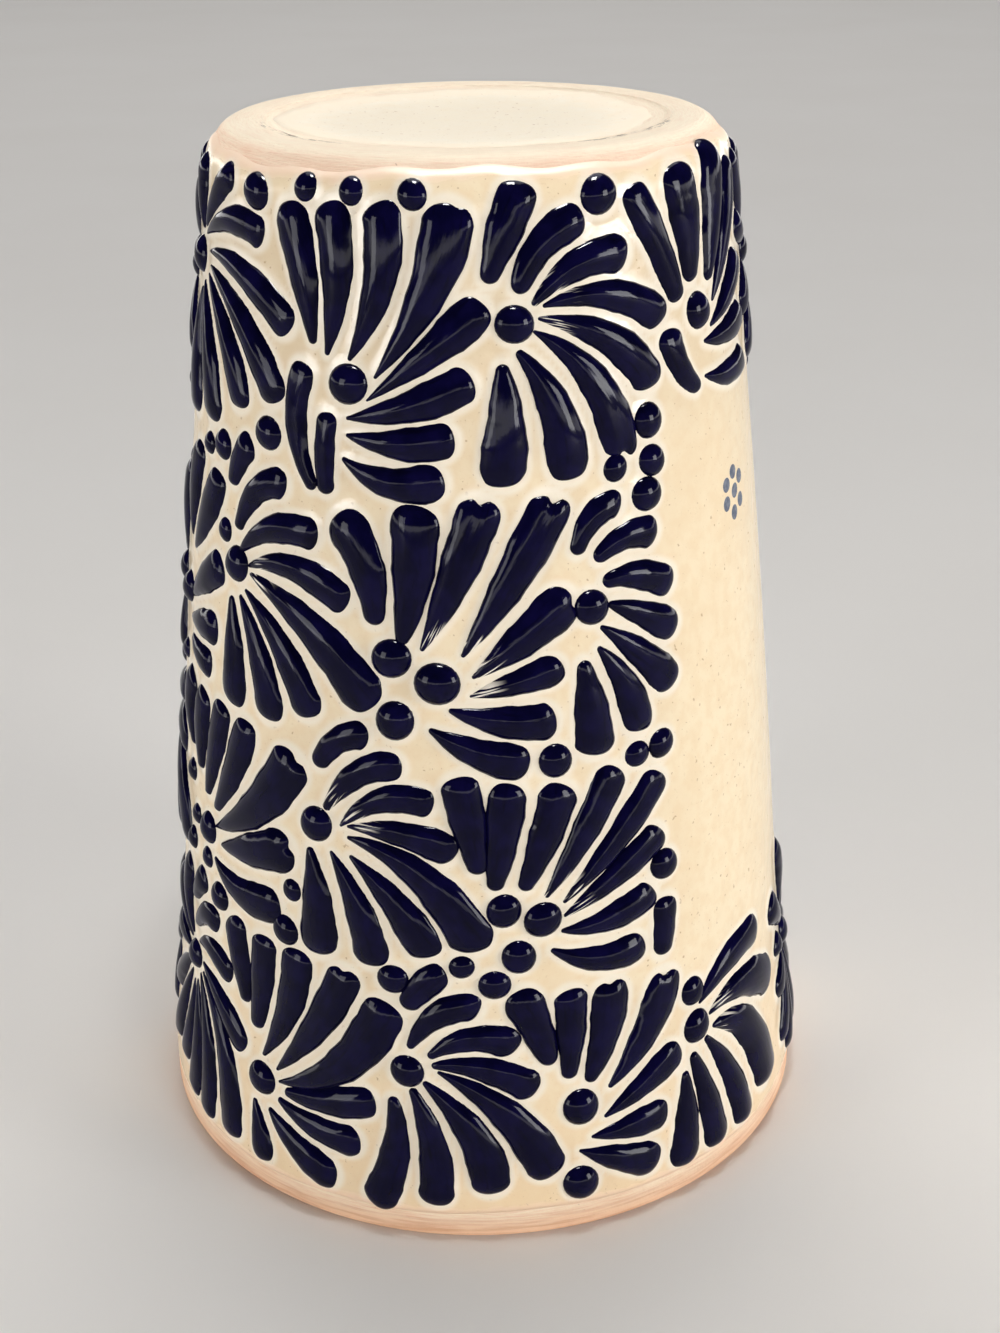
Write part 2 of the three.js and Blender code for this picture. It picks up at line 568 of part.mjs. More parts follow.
function geometryOf(manifold) {
  const mesh = manifold.getMesh();
  const geometry = new THREE.BufferGeometry();
  geometry.setAttribute('position', new THREE.BufferAttribute(new Float32Array(mesh.vertProperties), 3));
  geometry.setIndex(new THREE.BufferAttribute(new Uint32Array(mesh.triVerts), 1));
  return geometry;
}

placements.forEach(([name, turn], i) => {
  const drawing = i < placements.length - BACK_FANS.length ? FANS[name] : withoutLoose(FANS[name]);
  const geometry = geometryOf(fan(drawing)).rotateZ(turn * RADIANS);
  addPart(`petal_fan_${String(i + 1).padStart(2, '0')}`, geometry, '#141233', 0.12);
});

export default tumbler;
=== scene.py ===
# A ceramic tumbler with raised cobalt petals, standing upside down on its rim.
# Sizes are millimetres and degrees round the cup, 0 at the front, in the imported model's frame.
import math

import bmesh
import bpy
import numpy as np
from mathutils import Matrix, Vector


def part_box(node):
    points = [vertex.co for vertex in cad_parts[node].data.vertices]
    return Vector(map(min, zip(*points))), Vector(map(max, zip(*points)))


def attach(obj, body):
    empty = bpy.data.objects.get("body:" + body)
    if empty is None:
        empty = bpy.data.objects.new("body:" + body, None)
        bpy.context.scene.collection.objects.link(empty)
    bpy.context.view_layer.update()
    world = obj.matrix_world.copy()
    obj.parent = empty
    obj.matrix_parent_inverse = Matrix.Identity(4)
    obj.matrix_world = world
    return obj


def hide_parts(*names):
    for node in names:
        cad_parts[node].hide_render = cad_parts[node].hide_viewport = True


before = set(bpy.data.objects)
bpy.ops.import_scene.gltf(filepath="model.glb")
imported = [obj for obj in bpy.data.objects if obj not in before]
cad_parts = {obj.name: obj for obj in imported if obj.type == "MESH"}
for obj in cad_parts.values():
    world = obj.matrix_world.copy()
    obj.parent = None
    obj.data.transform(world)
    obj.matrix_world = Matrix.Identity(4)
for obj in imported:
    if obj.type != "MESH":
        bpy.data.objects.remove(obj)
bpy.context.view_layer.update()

# Clay body: a cup thrown from buff clay, its foot turned with a metal rib.
# It is fired bare where it shows: a band at the rim, the rounded shoulder and the foot ring.
MM = 0.001
clay_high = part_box("clay_body")[1]
HEIGHT = clay_high.z / MM
RIM_RADIUS = clay_high.x / MM
FOOT_RADIUS = 31
WALL_THICKNESS = 4
FLOOR_THICKNESS = 5
BELLY = 0.95
LIP_FLARE = 1.3
LIP_FLARE_HEIGHT = 30
RIM_ROUNDING = 1.1
SHOULDER_HEIGHT = 5.5
SHOULDER_DEPTH = 3.6
FOOT_RING_WIDTH = 3.2
RECESS_DEPTH = 1.4
RECESS_STEP = 0.14
INSIDE_CORNER = 6
RIB_MARK, RIB_WAVES = 0.05, 17
RIBS_ROUND, RIBS_ACROSS = 5, 2.2
TURN_STEPS = 288
CORNER_RINGS, INSIDE_RINGS, LIP_RINGS = 10, 30, 7
OUTSIDE_RINGS, SHOULDER_RINGS, RECESS_RINGS = 64, 26, 18

shoulder_z = HEIGHT - SHOULDER_HEIGHT
recess_z = HEIGHT - RECESS_DEPTH
floor_z = recess_z - FLOOR_THICKNESS
foot_edge = FOOT_RADIUS - SHOULDER_DEPTH - FOOT_RING_WIDTH


def wall_radius(z):
    """Outside radius at a height: a cone with a slight belly, a flared lip and a rounded shoulder."""
    climb = np.clip(z / shoulder_z, 0, 1)
    lip = np.clip(z / LIP_FLARE_HEIGHT, 0, 1)
    cone = RIM_RADIUS - LIP_FLARE + (FOOT_RADIUS - RIM_RADIUS + LIP_FLARE) * climb
    belly = BELLY * 4 * climb * (1 - climb)
    flare = LIP_FLARE * (1 - lip * lip * (3 - 2 * lip))
    over = np.clip((z - shoulder_z) / SHOULDER_HEIGHT, 0, 1)
    return cone + belly + flare - SHOULDER_DEPTH * (1 - np.sqrt(1 - over * over))


def inside_radius(z):
    return wall_radius(z) - WALL_THICKNESS


def dish_z(radius):
    """The recess drops by a small step at the foot ring and then sinks gently to its middle."""
    share = radius / (foot_edge - RECESS_STEP)
    return recess_z + (RECESS_DEPTH - RECESS_STEP) * share ** 2


def turned(rings, steps, closed=False):
    """A skin over rings of (radius, height), each a number or one number per step round the cup."""
    turn = np.arange(steps) * 2 * np.pi / steps
    points = [
        np.column_stack([radius * np.sin(turn), -radius * np.cos(turn), height + 0 * turn])
        for radius, height in rings
    ]
    step = np.arange(steps)
    following = (step + 1) % steps
    count = len(rings)
    pairs = [(i, (i + 1) % count) for i in range(count if closed else count - 1)]
    faces = [
        np.column_stack([low * steps + step, low * steps + following,
                         high * steps + following, high * steps + step])
        for low, high in pairs
    ]
    return np.concatenate(points), np.concatenate(faces)


def lay_piece(name, points, faces, material, nodes=(), marks=None, weld=False):
    """Makes a smooth piece that rides with the cup. marks are values kept at each point."""
    mesh = bpy.data.meshes.new(name)
    mesh.from_pydata(points * MM, [], [list(face) for face in faces])
    for mark, values in (marks or {}).items():
        kind, field = ("FLOAT_VECTOR", "vector") if values.ndim > 1 else ("FLOAT", "value")
        store = mesh.attributes.new(mark, kind, "POINT")
        store.data.foreach_set(field, values.astype(np.float32).ravel())
    if weld:
        joined = bmesh.new()
        joined.from_mesh(mesh)
        bmesh.ops.remove_doubles(joined, verts=joined.verts, dist=1e-6)
        joined.to_mesh(mesh)
        joined.free()
    mesh.shade_smooth()
    mesh.materials.append(material)
    piece = bpy.data.objects.new(name, mesh)
    bpy.context.scene.collection.objects.link(piece)
    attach(piece, "root")
    if nodes:
        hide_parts(*nodes)


class Coat:
    """A value in a finish. Operators add Math nodes, and node() adds any other node."""

    def __init__(self, tree, socket=None):
        self.tree = tree
        self.socket = socket

    def node(self, kind, settings, inputs, output=0):
        made = self.tree.nodes.new("ShaderNode" + kind)
        for name, value in settings.items():
            setattr(made, name, value)
        for name, value in inputs.items():
            if isinstance(value, Coat):
                self.tree.links.new(value.socket, made.inputs[name])
            else:
                made.inputs[name].default_value = value
        return Coat(self.tree, made.outputs[output] if made.outputs else None)

    def maths(self, operation, first, second=0):
        return self.node("Math", {"operation": operation}, {0: first, 1: second})

    def __add__(self, other):
        return self.maths("ADD", self, other)

    def __radd__(self, other):
        return self.maths("ADD", other, self)

    def __sub__(self, other):
        return self.maths("SUBTRACT", self, other)

    def __rsub__(self, other):
        return self.maths("SUBTRACT", other, self)

    def __mul__(self, other):
        return self.maths("MULTIPLY", self, other)

    def __rmul__(self, other):
        return self.maths("MULTIPLY", other, self)

    def __truediv__(self, other):
        return self.maths("DIVIDE", self, other)

    def __rtruediv__(self, other):
        return self.maths("DIVIDE", other, self)

    def __abs__(self):
        return self.maths("ABSOLUTE", self)

    def rise(self, low, high):
        """0 below low, 1 above high and a smooth change between."""
        limits = {"Value": self, "From Min": low, "From Max": high}
        return self.node("MapRange", {"interpolation_type": "SMOOTHSTEP"}, limits)

    def over(self, under, upper):
        """The upper colour where this value is 1, the under colour where it is 0."""
        return self.node("Mix", {"data_type": "RGBA"}, {0: self, 6: under, 7: upper}, output=2)

    def place(self):
        """Where a point lies on the cup, in millimetres."""
        metres = self.node("TexCoord", {}, {}, output=3)
        return self.node("VectorMath", {"operation": "SCALE"}, {0: metres, 3: 1 / MM})

    def part(self, axis):
        """One of the three numbers of a place."""
        return self.node("SeparateXYZ", {}, {0: self}, output=axis)

    def cloud(self, place, scale, detail):
        """An uneven pattern of values near a half."""
        return self.node("TexNoise", {}, {"Vector": place, "Scale": scale, "Detail": detail})

    def relief(self, height, distance):
        """Small bumps, with the distance in metres that a height of 1 stands for."""
        return self.node("Bump", {}, {"Height": height, "Distance": distance, "Strength": 1.0})

    def fire(self, sockets):
        """Ends the finish with its surface."""
        shader = self.node("BsdfPrincipled", {}, sockets)
        self.node("OutputMaterial", {}, {"Surface": shader})


def tint(code):
    """A colour written as red, green and blue of 0 to 255, as light values."""
    shares = np.array(code) / 255
    light = np.where(shares <= 0.04045, shares / 12.92, ((shares + 0.055) / 1.055) ** 2.4)
    return (*light.tolist(), 1.0)


def new_finish(name):
    material = bpy.data.materials.new(name)
    material.use_nodes = True
    material.node_tree.nodes.clear()
    return material, Coat(material.node_tree)


def bare_clay_finish():
    material, coat = new_finish("bare_clay")
    place = coat.place()
    x, y, z = place.part(0), place.part(1), place.part(2)
    radius = coat.maths("SQRT", x * x + y * y)
    # Marks of the rib run round the foot: they change fast across and slowly along
    off_axis = radius + 0.01
    across = (radius - z) * RIBS_ACROSS
    round_x, round_y = x / off_axis * RIBS_ROUND, y / off_axis * RIBS_ROUND
    ribbed = coat.node("CombineXYZ", {}, {0: round_x, 1: round_y, 2: across})
    ribs = coat.cloud(ribbed, 1.0, 4.0)
    scratches = coat.cloud(ribbed, 3.0, 4.0)
    pink = coat.cloud(place, 0.12, 3.0)
    grain = coat.cloud(place, 2.4, 3.0)
    foot = z.rise(HEIGHT - 1.2, HEIGHT - 0.2)
    shoulder = z.rise(20, 60) * (1 - foot)
    rosy = pink.rise(0.4, 0.7) * 0.25 + ribs.rise(0.42, 0.7) * 0.4 + scratches.rise(0.46, 0.62) * 0.45
    buff = rosy.over(tint((255, 237, 210)), tint((241, 198, 166)))
    paler = (foot * 0.65).over(buff, tint((255, 241, 216)))
    flushed = (shoulder * 0.45).over(paler, tint((243, 206, 180)))
    lip = 1 - z.rise(0.5, 4.5)
    lip_clay = ribs.rise(0.4, 0.65).over(tint((242, 194, 156)), tint((220, 164, 126)))
    lip_tone = (lip * 0.85).over(flushed, lip_clay)
    speck = grain.rise(0.72, 0.78) * 0.5
    specked = speck.over(lip_tone, tint((170, 124, 92)))
    # Grit and chips caught along the inner edge of the foot ring, most of them at its front corners
    edge = 1 - abs(radius - foot_edge + (pink - 0.5) * 3).rise(0.2, 0.9)
    flanks = abs(x).rise(6, 12) * (1 - y.rise(-10, -4))
    chips = coat.cloud(ribbed, 2.4, 3.0).rise(0.52, 0.6) * edge * foot * (0.06 + flanks * 0.84)
    chipped = chips.over(specked, tint((118, 94, 70)))
    marks = ribs * 0.5 + scratches * 0.4 + grain * 0.3
    coat.fire({
        "Base Color": chipped,
        "Roughness": 0.72 + grain * 0.2,
        "Specular IOR Level": 0.12,
        "Normal": coat.relief(marks, 0.00025),
    })
    return material


corner_z = floor_z - INSIDE_CORNER
corner_centre = inside_radius(corner_z) - INSIDE_CORNER
corner_angles = np.linspace(math.pi / 2, 0, CORNER_RINGS)
inside_rings = [(0.0, floor_z)] + [
    (corner_centre + INSIDE_CORNER * np.cos(angle), floor_z - INSIDE_CORNER * (1 - np.sin(angle)))
    for angle in corner_angles
]
inside_rings += [(inside_radius(z), z) for z in np.linspace(corner_z, RIM_ROUNDING, INSIDE_RINGS)[1:]]
lip_angles = np.linspace(0, math.pi / 2, LIP_RINGS)
lip_rings = [
    (inside_radius(0) + RIM_ROUNDING * (1 - np.cos(angle)), RIM_ROUNDING * (1 - np.sin(angle)))
    for angle in lip_angles[1:]
]
lip_rings += [
    (wall_radius(0) - RIM_ROUNDING * (1 - np.sin(angle)), RIM_ROUNDING * (1 - np.cos(angle)))
    for angle in lip_angles
]
outside_rings = [(wall_radius(z), z) for z in np.linspace(RIM_ROUNDING, shoulder_z, OUTSIDE_RINGS)[1:]]
shoulder_rings = [
    (FOOT_RADIUS - SHOULDER_DEPTH * (1 - np.cos(angle)) - RIB_MARK * (1 + np.sin(RIB_WAVES * angle)) / 2,
     shoulder_z + SHOULDER_HEIGHT * np.sin(angle))
    for angle in np.linspace(0, math.pi / 2, SHOULDER_RINGS)[1:]
]
# The inner edge of the foot ring is broken by a small bevel
foot_rings = [(foot_edge, HEIGHT - 0.03), (foot_edge - 0.15, HEIGHT - 0.12)]
recess_radii = np.linspace(foot_edge - RECESS_STEP, 0, RECESS_RINGS)
foot_rings += [(radius, dish_z(radius)) for radius in recess_radii]
clay_rings = inside_rings + lip_rings + outside_rings + shoulder_rings + foot_rings
clay_points, clay_faces = turned(clay_rings, TURN_STEPS)
lay_piece("clay_cup", clay_points, clay_faces, bare_clay_finish(), ["clay_body"], weld=True)

# The drawing: fans of slip petals trailed round a dot, with loose dots and bars filling the gaps.
# A dot is (degrees, height, diameter), the fan's own dot first. A petal or bar is (degrees, height) at
# its tail, its middle and its tip, then its width, the width of its tail and how soon it swells.
FANS = {
    "tall_spray": {
        "moved": (-0.55, 0.25),
        "dots": [(-22.5, 107.7, 4.8), (-32.8, 128.1, 3.2), (-22.3, 128.1, 3.1), (-9.7, 128, 3.4),
                 (-40.9, 100.6, 4.2)],
        "petals": [
            (-30.1, 111.5, -33.1, 119.5, -37.3, 126.5, 4.6, 0.9),
            (-27.1, 110.5, -25.2, 119.1, -27.2, 127, 4.4, 0.6),
            (-22.4, 110.2, -16.2, 119.1, -16.4, 127.3, 4.4, 0.5),
            (-17.2, 108.5, -6.6, 118.3, -2.4, 127.3, 5.6, 0.4, 1.3),
            (-18.8, 106, -5, 112.3, 3.8, 116.8, 4.4, 0.3, 1.3),
            (-22.9, 103.9, -9.1, 105.9, 1.4, 108.9, 4.2, 0.4),
            (-22.9, 102.1, -11.3, 101.5, -2, 102.5, 4.1, 0.4),
            (-23.6, 99.5, -13.9, 97.1, -4, 97.9, 4.2, 0.5),
            (-29.4, 95.3, -33.8, 102.3, -31.9, 109.4, 3.3, 1.5),
            (-26.7, 95, -27.3, 99.7, -26.6, 104.4, 2.7, 2.2),
        ],
        "notched": {3: (-0.35, 0.4, 0)},
    },
    "wide_spray": {
        "moved": (-0.2, 0.55),
        "dots": [(9.1, 114.2, 4.4), (27.2, 127, 4.5), (28, 97.3, 3.3), (35.9, 101.9, 4.2),
                 (36.3, 97.3, 3.9), (34.7, 93.6, 4.3)],
        "petals": [
            (4.1, 118.5, 7.5, 123.8, 11.4, 128.9, 4.4, 1.6),
            (10, 117.3, 14.9, 122.4, 23.8, 125, 3.9, 1.8),
            (12.6, 116, 22.2, 120, 33.2, 120.4, 4, 0.6),
            (14.5, 115.9, 29, 116.3, 41.2, 112.6, 3.9, 0.5),
            (13.5, 114.7, 28.5, 111.5, 37.5, 105.5, 4.3, 0.4),
            (12.5, 113.4, 24.6, 107.2, 29.7, 98.3, 4.5, 0.4),
            (9.4, 111.4, 16.6, 104.6, 18.5, 96.7, 4.7, 0.8),
            (6.5, 110.1, 7, 103.4, 5.8, 96.5, 5, 1.3),
        ],
        "notched": {5: (0.1, 0.7, 0.25)},
        "dragged": [2, 3, 4],
    },
    "panel_top": {
        "moved": (0.5, 0.05),
        "dots": [(51.2, 113, 4.5)],
        "petals": [
            (45, 114.6, 40.3, 121.3, 33.8, 128, 3.9, 2.6),
            (49, 116.3, 49.2, 122.7, 46.9, 129.5, 5.5, 2),
            (55.3, 115.8, 59.3, 123.1, 61.6, 130.9, 5, 1.4),
            (56.8, 113.3, 65.5, 121, 71.5, 128.4, 4.2, 0.5),
            (55.3, 110.7, 64.5, 113.6, 72.5, 117.5, 3.9, 0.5),
            (52.5, 109.3, 63, 109.3, 72.8, 110.5, 3.8, 0.4),
            (52, 105.4, 62.5, 104.4, 72, 105.2, 3.6, 0.4),
            (50.2, 104.3, 44.8, 107.2, 41.6, 112, 3.6, 1.7),
        ],
    },
    "foot_spray": {
        "moved": (-1.2, 0.2),
        "dots": [(-71.8, 117.6, 4.4), (-45.9, 126.9, 4.3)],
        "petals": [
            (-71, 120.5, -73, 125, -72.5, 129, 4, 0.6),
            (-69.4, 121, -60.8, 126.1, -54.3, 128.2, 3.3, 0.5),
            (-68.8, 120.2, -54.7, 123.1, -43, 122, 3.6, 0.4),
            (-66, 118.5, -50, 117.8, -35, 112.6, 3.9, 0.4),
            (-65, 117, -50, 112.8, -38, 104.3, 4.2, 0.4),
            (-66, 116, -55, 110, -48.6, 102.4, 4.1, 0.4),
            (-68.5, 115, -62.5, 106.5, -59.8, 99.3, 4.6, 0.5),
            (-70.5, 114, -71.5, 106, -71, 98.6, 4.4, 0.5),
        ],
    },
    "small_crown": {
        "dots": [(88, 116, 4.4), (94.5, 101, 3)],
        "petals": [
            (86, 118, 81.5, 122.5, 77.5, 128.5, 3.9, 0.5),
            (85.3, 117, 80.5, 118.6, 75.8, 121, 3.6, 0.5),
            (85, 115, 80.5, 112.5, 76, 109.5, 3.9, 0.5),
            (86.5, 113.5, 83.5, 108.5, 80, 103.5, 4, 0.5),
            (89, 113, 89.8, 107.5, 89.5, 101.8, 4, 0.6),
            (88.3, 118.8, 88, 123.5, 87, 129, 3.9, 0.6),
            (90.3, 117.6, 94.5, 121.5, 98, 126.5, 3.6, 0.5),
            (91, 115.5, 96, 115.4, 100.8, 116.3, 3.4, 0.5),
            (90.5, 114, 95.5, 110, 98.5, 104.5, 3.9, 0.5),
        ],
    },
    "left_shower": {
        "moved": (-0.85, 0.15),
        "dots": [(-49, 83.9, 4.6), (-53.4, 87.3, 3.1), (-55, 97.4, 3.8), (-61.3, 96.6, 3)],
        "petals": [
            (-51.2, 93.1, -49, 96.4, -45.3, 99.4, 3.6, 1.6),
            (-49, 88.1, -43.4, 93.6, -35.4, 95.3, 3.5, 1.5),
            (-47.8, 85.8, -38.7, 89.7, -28.1, 90, 3.8, 0.9),
            (-45.6, 84.2, -33.5, 85.7, -21.9, 82.6, 4, 0.5),
            (-45.1, 83.4, -29.3, 78.9, -17.3, 70.6, 5.4, 0.5),
            (-46.5, 81.2, -36.5, 76, -29.5, 68, 4.3, 0.5),
            (-48, 80.3, -42, 73.8, -38.8, 66, 4.4, 0.6),
            (-50.7, 79.7, -49.5, 72.7, -49.6, 65.8, 4.6, 0.9),
        ],
        "dragged": [3, 4],
    },
    "edge_spray": {
        "moved": (-1.4, 0),
        "dots": [(-72.5, 76, 4.4)],
        "petals": [
            (-71.5, 83, -69, 89.5, -66.5, 96, 4.2, 0.5),
            (-68.5, 82, -61.5, 87.5, -55.5, 94, 4.6, 0.5),
            (-69.5, 75.5, -60.5, 80, -53.4, 83, 4.5, 0.5),
            (-69.5, 73, -61.5, 73.6, -54.9, 74.3, 4.4, 0.5),
            (-69, 70.5, -63, 69.2, -57.2, 69, 3.8, 0.4),
        ],
    },
    "centre_spray": {
        "moved": (0.3, 0),
        "dots": [(-6.6, 74.4, 5.4), (-14.8, 77.1, 4.9), (-14.2, 69.6, 4.9), (13.9, 64.4, 4.3)],
        "petals": [
            (-18, 80.8, -19.7, 87.8, -25.4, 93.3, 5, 2),
            (-13.1, 78.8, -10.9, 86.5, -10.4, 95.2, 5.4, 1.3),
            (-9.4, 78.2, -3.4, 86.6, 2.2, 95.9, 4.9, 0.5),
            (-2.2, 77.6, 6.4, 86, 15.5, 95.7, 5, 0.5),
            (-0.5, 75.1, 8.9, 79.6, 17.8, 84.2, 5.1, 0.4),
            (-1, 72.9, 7.6, 74.4, 15.9, 75.9, 3.7, 0.4),
            (-4.7, 71.3, 5.1, 69.7, 14.4, 69.4, 4.4, 0.5),
            (-8.2, 68.9, 0.6, 65.9, 9.4, 64.3, 4.4, 0.6),
        ],
        "notched": {2: (0.1, 0.7, -0.12), 3: (0, 0.9, -0.3), 4: (-0.4, 0.6, 0.1)},
        "dragged": [2, 3, 4, 5],
    },
    "panel_side": {
        "moved": (0.3, 0),
        "dots": [(21.6, 82.3, 4.4), (29.6, 63.2, 3.5), (34.9, 63.6, 3.9)],
        "petals": [
            (18.9, 88.6, 22.6, 92.8, 28.5, 93.8, 3.4, 1.6),
            (22.5, 87.6, 29, 89.8, 36.2, 89.3, 3.6, 1.5),
            (23.8, 84.9, 31.4, 85, 39.2, 82.6, 3.8, 1.5),
            (24.7, 82.4, 33, 79.9, 39.7, 77.1, 3.8, 0.7),
            (23, 79.9, 31.1, 75.6, 38.5, 70.4, 4.1, 0.5),
            (22.4, 77.5, 28.1, 71.8, 30.4, 65.9, 4.1, 0.6),
            (19.5, 76.2, 20.9, 70, 21.4, 64.2, 4.8, 1.4),
        ],
    },
    "side_burst": {
        "moved": (-1.4, 0),
        "dots": [(-82, 76.5, 4.2), (-93, 89, 3.6), (-74.5, 67, 3)],
        "petals": [
            (-83, 79, -86, 84, -87, 90, 4.2, 0.6),
            (-84, 77.5, -89, 80.5, -94, 82.5, 4, 0.5),
            (-84.2, 76, -89.5, 75, -95, 74.5, 3.9, 0.5),
            (-83.5, 74.8, -87, 72.4, -90.5, 71.3, 3.4, 0.5),
            (-81.5, 73.8, -81.5, 69.5, -80.5, 65, 4, 0.6),
            (-80.8, 79, -79, 85, -78, 91.5, 4, 0.6),
        ],
    },
    "left_plume": {
        "moved": (-0.8, 0),
        "dots": [(-58.2, 46.8, 4.4), (-58.6, 42.4, 3), (-53.6, 38.4, 4.1), (-64.2, 46.8, 3),
                 (-66.5, 42.6, 3.4), (-67.3, 52.2, 3.2)],
        "petals": [
            (-66, 56, -69, 61, -68.5, 66, 4.2, 1.2),
            (-62, 53.9, -62, 60, -61.3, 65.2, 4.5, 1.4),
            (-58.9, 51.3, -55.6, 58.8, -53.2, 65.4, 4.3, 1.3),
            (-55.3, 50.3, -49.1, 57.7, -45.2, 64.9, 4.6, 1.3),
            (-55.5, 47.8, -42.2, 54.2, -32.9, 63, 5.9, 0.5),
            (-53.3, 45.9, -43, 48, -33.3, 50.5, 5.5, 0.5),
            (-55.8, 43.4, -46, 41.2, -36.2, 42.2, 5, 0.5),
        ],
        "notched": {4: (-0.2, 0.6, 0.1), 5: (0.1, 0.6, 0)},
    },
    "middle_fall": {
        "moved": (-0.55, 0),
        "dots": [(-28.6, 54.8, 4.7), (-33.8, 44.9, 3.1), (-35.3, 39.1, 4.2), (-14.1, 36.1, 4.1),
                 (-2.2, 38.4, 3.3)],
        "petals": [
            (-28.5, 62.2, -23.9, 66.2, -18.1, 67.2, 3.4, 2),
            (-26.8, 56.9, -19.9, 62.5, -12, 63.8, 3.6, 1),
            (-23.8, 55.2, -15.5, 59.5, -6.6, 59.2, 3.7, 0.4),
            (-22.5, 55.4, -11.5, 55.3, -2.8, 53.1, 4, 0.4),
            (-22.5, 54, -9.2, 50.2, 0.8, 40.5, 5.2, 0.5),
            (-22, 51.7, -13.6, 46.2, -7.6, 39.5, 4.6, 0.5),
            (-25.7, 51.8, -20.2, 44.6, -17.6, 37.4, 4.4, 0.5),
            (-30, 51.6, -28.4, 44.6, -28.2, 37.3, 5.1, 0.9),
        ],
        "dragged": [1, 2, 3],
    },
    "right_plume": {
        "moved": (0.3, 0),
        "dots": [(11, 44.2, 4.8), (4.3, 45.75, 4.5), (6.7, 39.5, 4.5), (34.5, 47.8, 4.3),
                 (2.5, 35.9, 4.1)],
        "petals": [
            (0.2, 50.6, -1.4, 56.8, -3.3, 63.1, 4.6, 2),
            (2.7, 48.4, 4.3, 55.2, 5.6, 62.2, 4.5, 1.8),
            (7.6, 48.2, 11.8, 54.9, 14.9, 61.5, 4.6, 1.5),
            (11.5, 47, 18.9, 54.8, 25.1, 62.4, 4.2, 0.6),
            (14.6, 46, 25.7, 53.5, 34.3, 60.1, 4.1, 0.5),
            (14.6, 44.2, 25.2, 48.6, 34.3, 52.5, 4.1, 0.5),
            (14, 42.4, 22.8, 42.7, 32.2, 44.9, 4.2, 0.5),
            (12.2, 40.1, 21, 37.7, 29.9, 38.3, 4.1, 0.6),
        ],
        "bars": [(33.4, 35.4, 34.2, 39.5, 34.5, 43.4, 3.6, 2.4)],
        "dragged": [3, 4, 5],
    },
    "rim_edge": {
        "moved": (-1.1, 0),
        "dots": [(-63.9, 25.9, 4.3)],
        "petals": [
            (-64.7, 34.4, -62.2, 37, -59.2, 39.6, 3.6, 1.6),
            (-63.4, 30.6, -58.8, 33.8, -53.4, 33.8, 3.7, 1.4),
            (-62.2, 28.4, -55.8, 29.6, -49.1, 27.5, 3.8, 0.7),
            (-60.5, 26, -52, 23.3, -44.9, 18.6, 4, 0.5),
            (-60.5, 24.5, -51, 17.6, -47.3, 4.8, 4.5, 0.5),
            (-61.5, 24, -56, 14.5, -55.6, 4.5, 4, 0.5),
            (-62.8, 22.5, -60.2, 13, -62, 5.6, 4, 0.5),
            (-64.2, 22, -64.5, 15, -67.5, 8.6, 3.7, 0.5),
            (-65.5, 23, -69.5, 17, -74, 9, 3.8, 0.5),
            (-66.5, 24, -71.5, 21, -77, 16.5, 3.8, 0.5),
            (-67, 25.8, -72.5, 26, -78, 27, 3.8, 0.5),
            (-66.3, 27.5, -71.5, 30.5, -76, 35.5, 4, 0.5),
            (-65.5, 28.3, -69, 33.5, -68, 39, 4, 0.6),
        ],
    },
    "rim_left": {
        "moved": (-0.65, 0),
        "dots": [(-40.3, 16.5, 4.8)],
        "petals": [
            (-45, 25.8, -47, 31.8, -49.3, 37.2, 4.4, 1.8),
            (-42.2, 23.1, -41, 30, -40.5, 37, 4.4, 2),
            (-40.3, 19.7, -34.5, 28.5, -32.7, 37.1, 4.7, 0.6),
            (-37, 18.6, -28.2, 27.5, -22.3, 36.3, 4.7, 0.5),
            (-36.5, 17.1, -23.2, 22.8, -15, 32.8, 5.7, 0.4),
            (-35, 16.2, -26.2, 17, -17.1, 18.7, 4.4, 1.2),
            (-36.4, 14.8, -28.4, 12.9, -19.6, 12.3, 4.1, 0.8),
            (-38.4, 12.8, -31.5, 8.9, -24, 6.1, 4.6, 0.7),
            (-42, 13, -40.2, 8.6, -39.3, 4.4, 3.7, 0.6),
        ],
        "notched": {3: (0.2, 0.5, -0.1)},
    },
    "rim_fall": {
        "moved": (-0.2, 0),
        "dots": [(-12.1, 23.6, 4.5)],
        "petals": [
            (-12.4, 32.2, -9.3, 35.4, -5.4, 37.9, 3.8, 2.5),
            (-11.8, 26.7, -6.4, 31.8, 0.6, 32.8, 3.9, 0.8),
            (-8.5, 25.7, -1, 28.5, 6.9, 27.2, 4, 0.9),
            (-8, 24.6, 1, 24.3, 9.8, 20.9, 4.1, 0.8),
            (-7, 23.9, 4.6, 17.9, 11.8, 8.7, 5, 0.5),
            (-9.4, 22.4, -0.7, 14.8, 1.7, 6.9, 4.9, 0.7),
            (-11.4, 21.4, -7.6, 13.2, -7.5, 5.1, 4.3, 1),
            (-14.7, 19.9, -14.1, 12.2, -17.6, 3.9, 4.4, 1.3),
        ],
    },
    "rim_right": {
        "moved": (0.1, -0.15),
        "dots": [(16.9, 17.9, 5), (16.4, 7.3, 4.9)],
        "petals": [
            (12, 24.3, 9.6, 29.8, 6.4, 35.1, 4.7, 2),
            (15, 22, 15.7, 28.2, 15.7, 34.5, 4.2, 1.7),
            (18.4, 21, 22.1, 28, 23, 34.5, 5, 1.5),
            (22, 19.6, 30.1, 26.2, 34.9, 33.3, 5.2, 0.6),
            (20.9, 15.7, 29.4, 18.9, 36.8, 21.8, 4.2, 0.5),
            (18.4, 13.4, 25.5, 13.4, 33.3, 13.7, 4.2, 0.4),
            (16.2, 11.9, 23.6, 9.4, 31, 7.2, 4.5, 0.4),
        ],
        "notched": {2: (0, 0.5, 0), 3: (0.2, 0.7, -0.1)},
    },
    "rim_panel": {
        "moved": (0.4, 0),
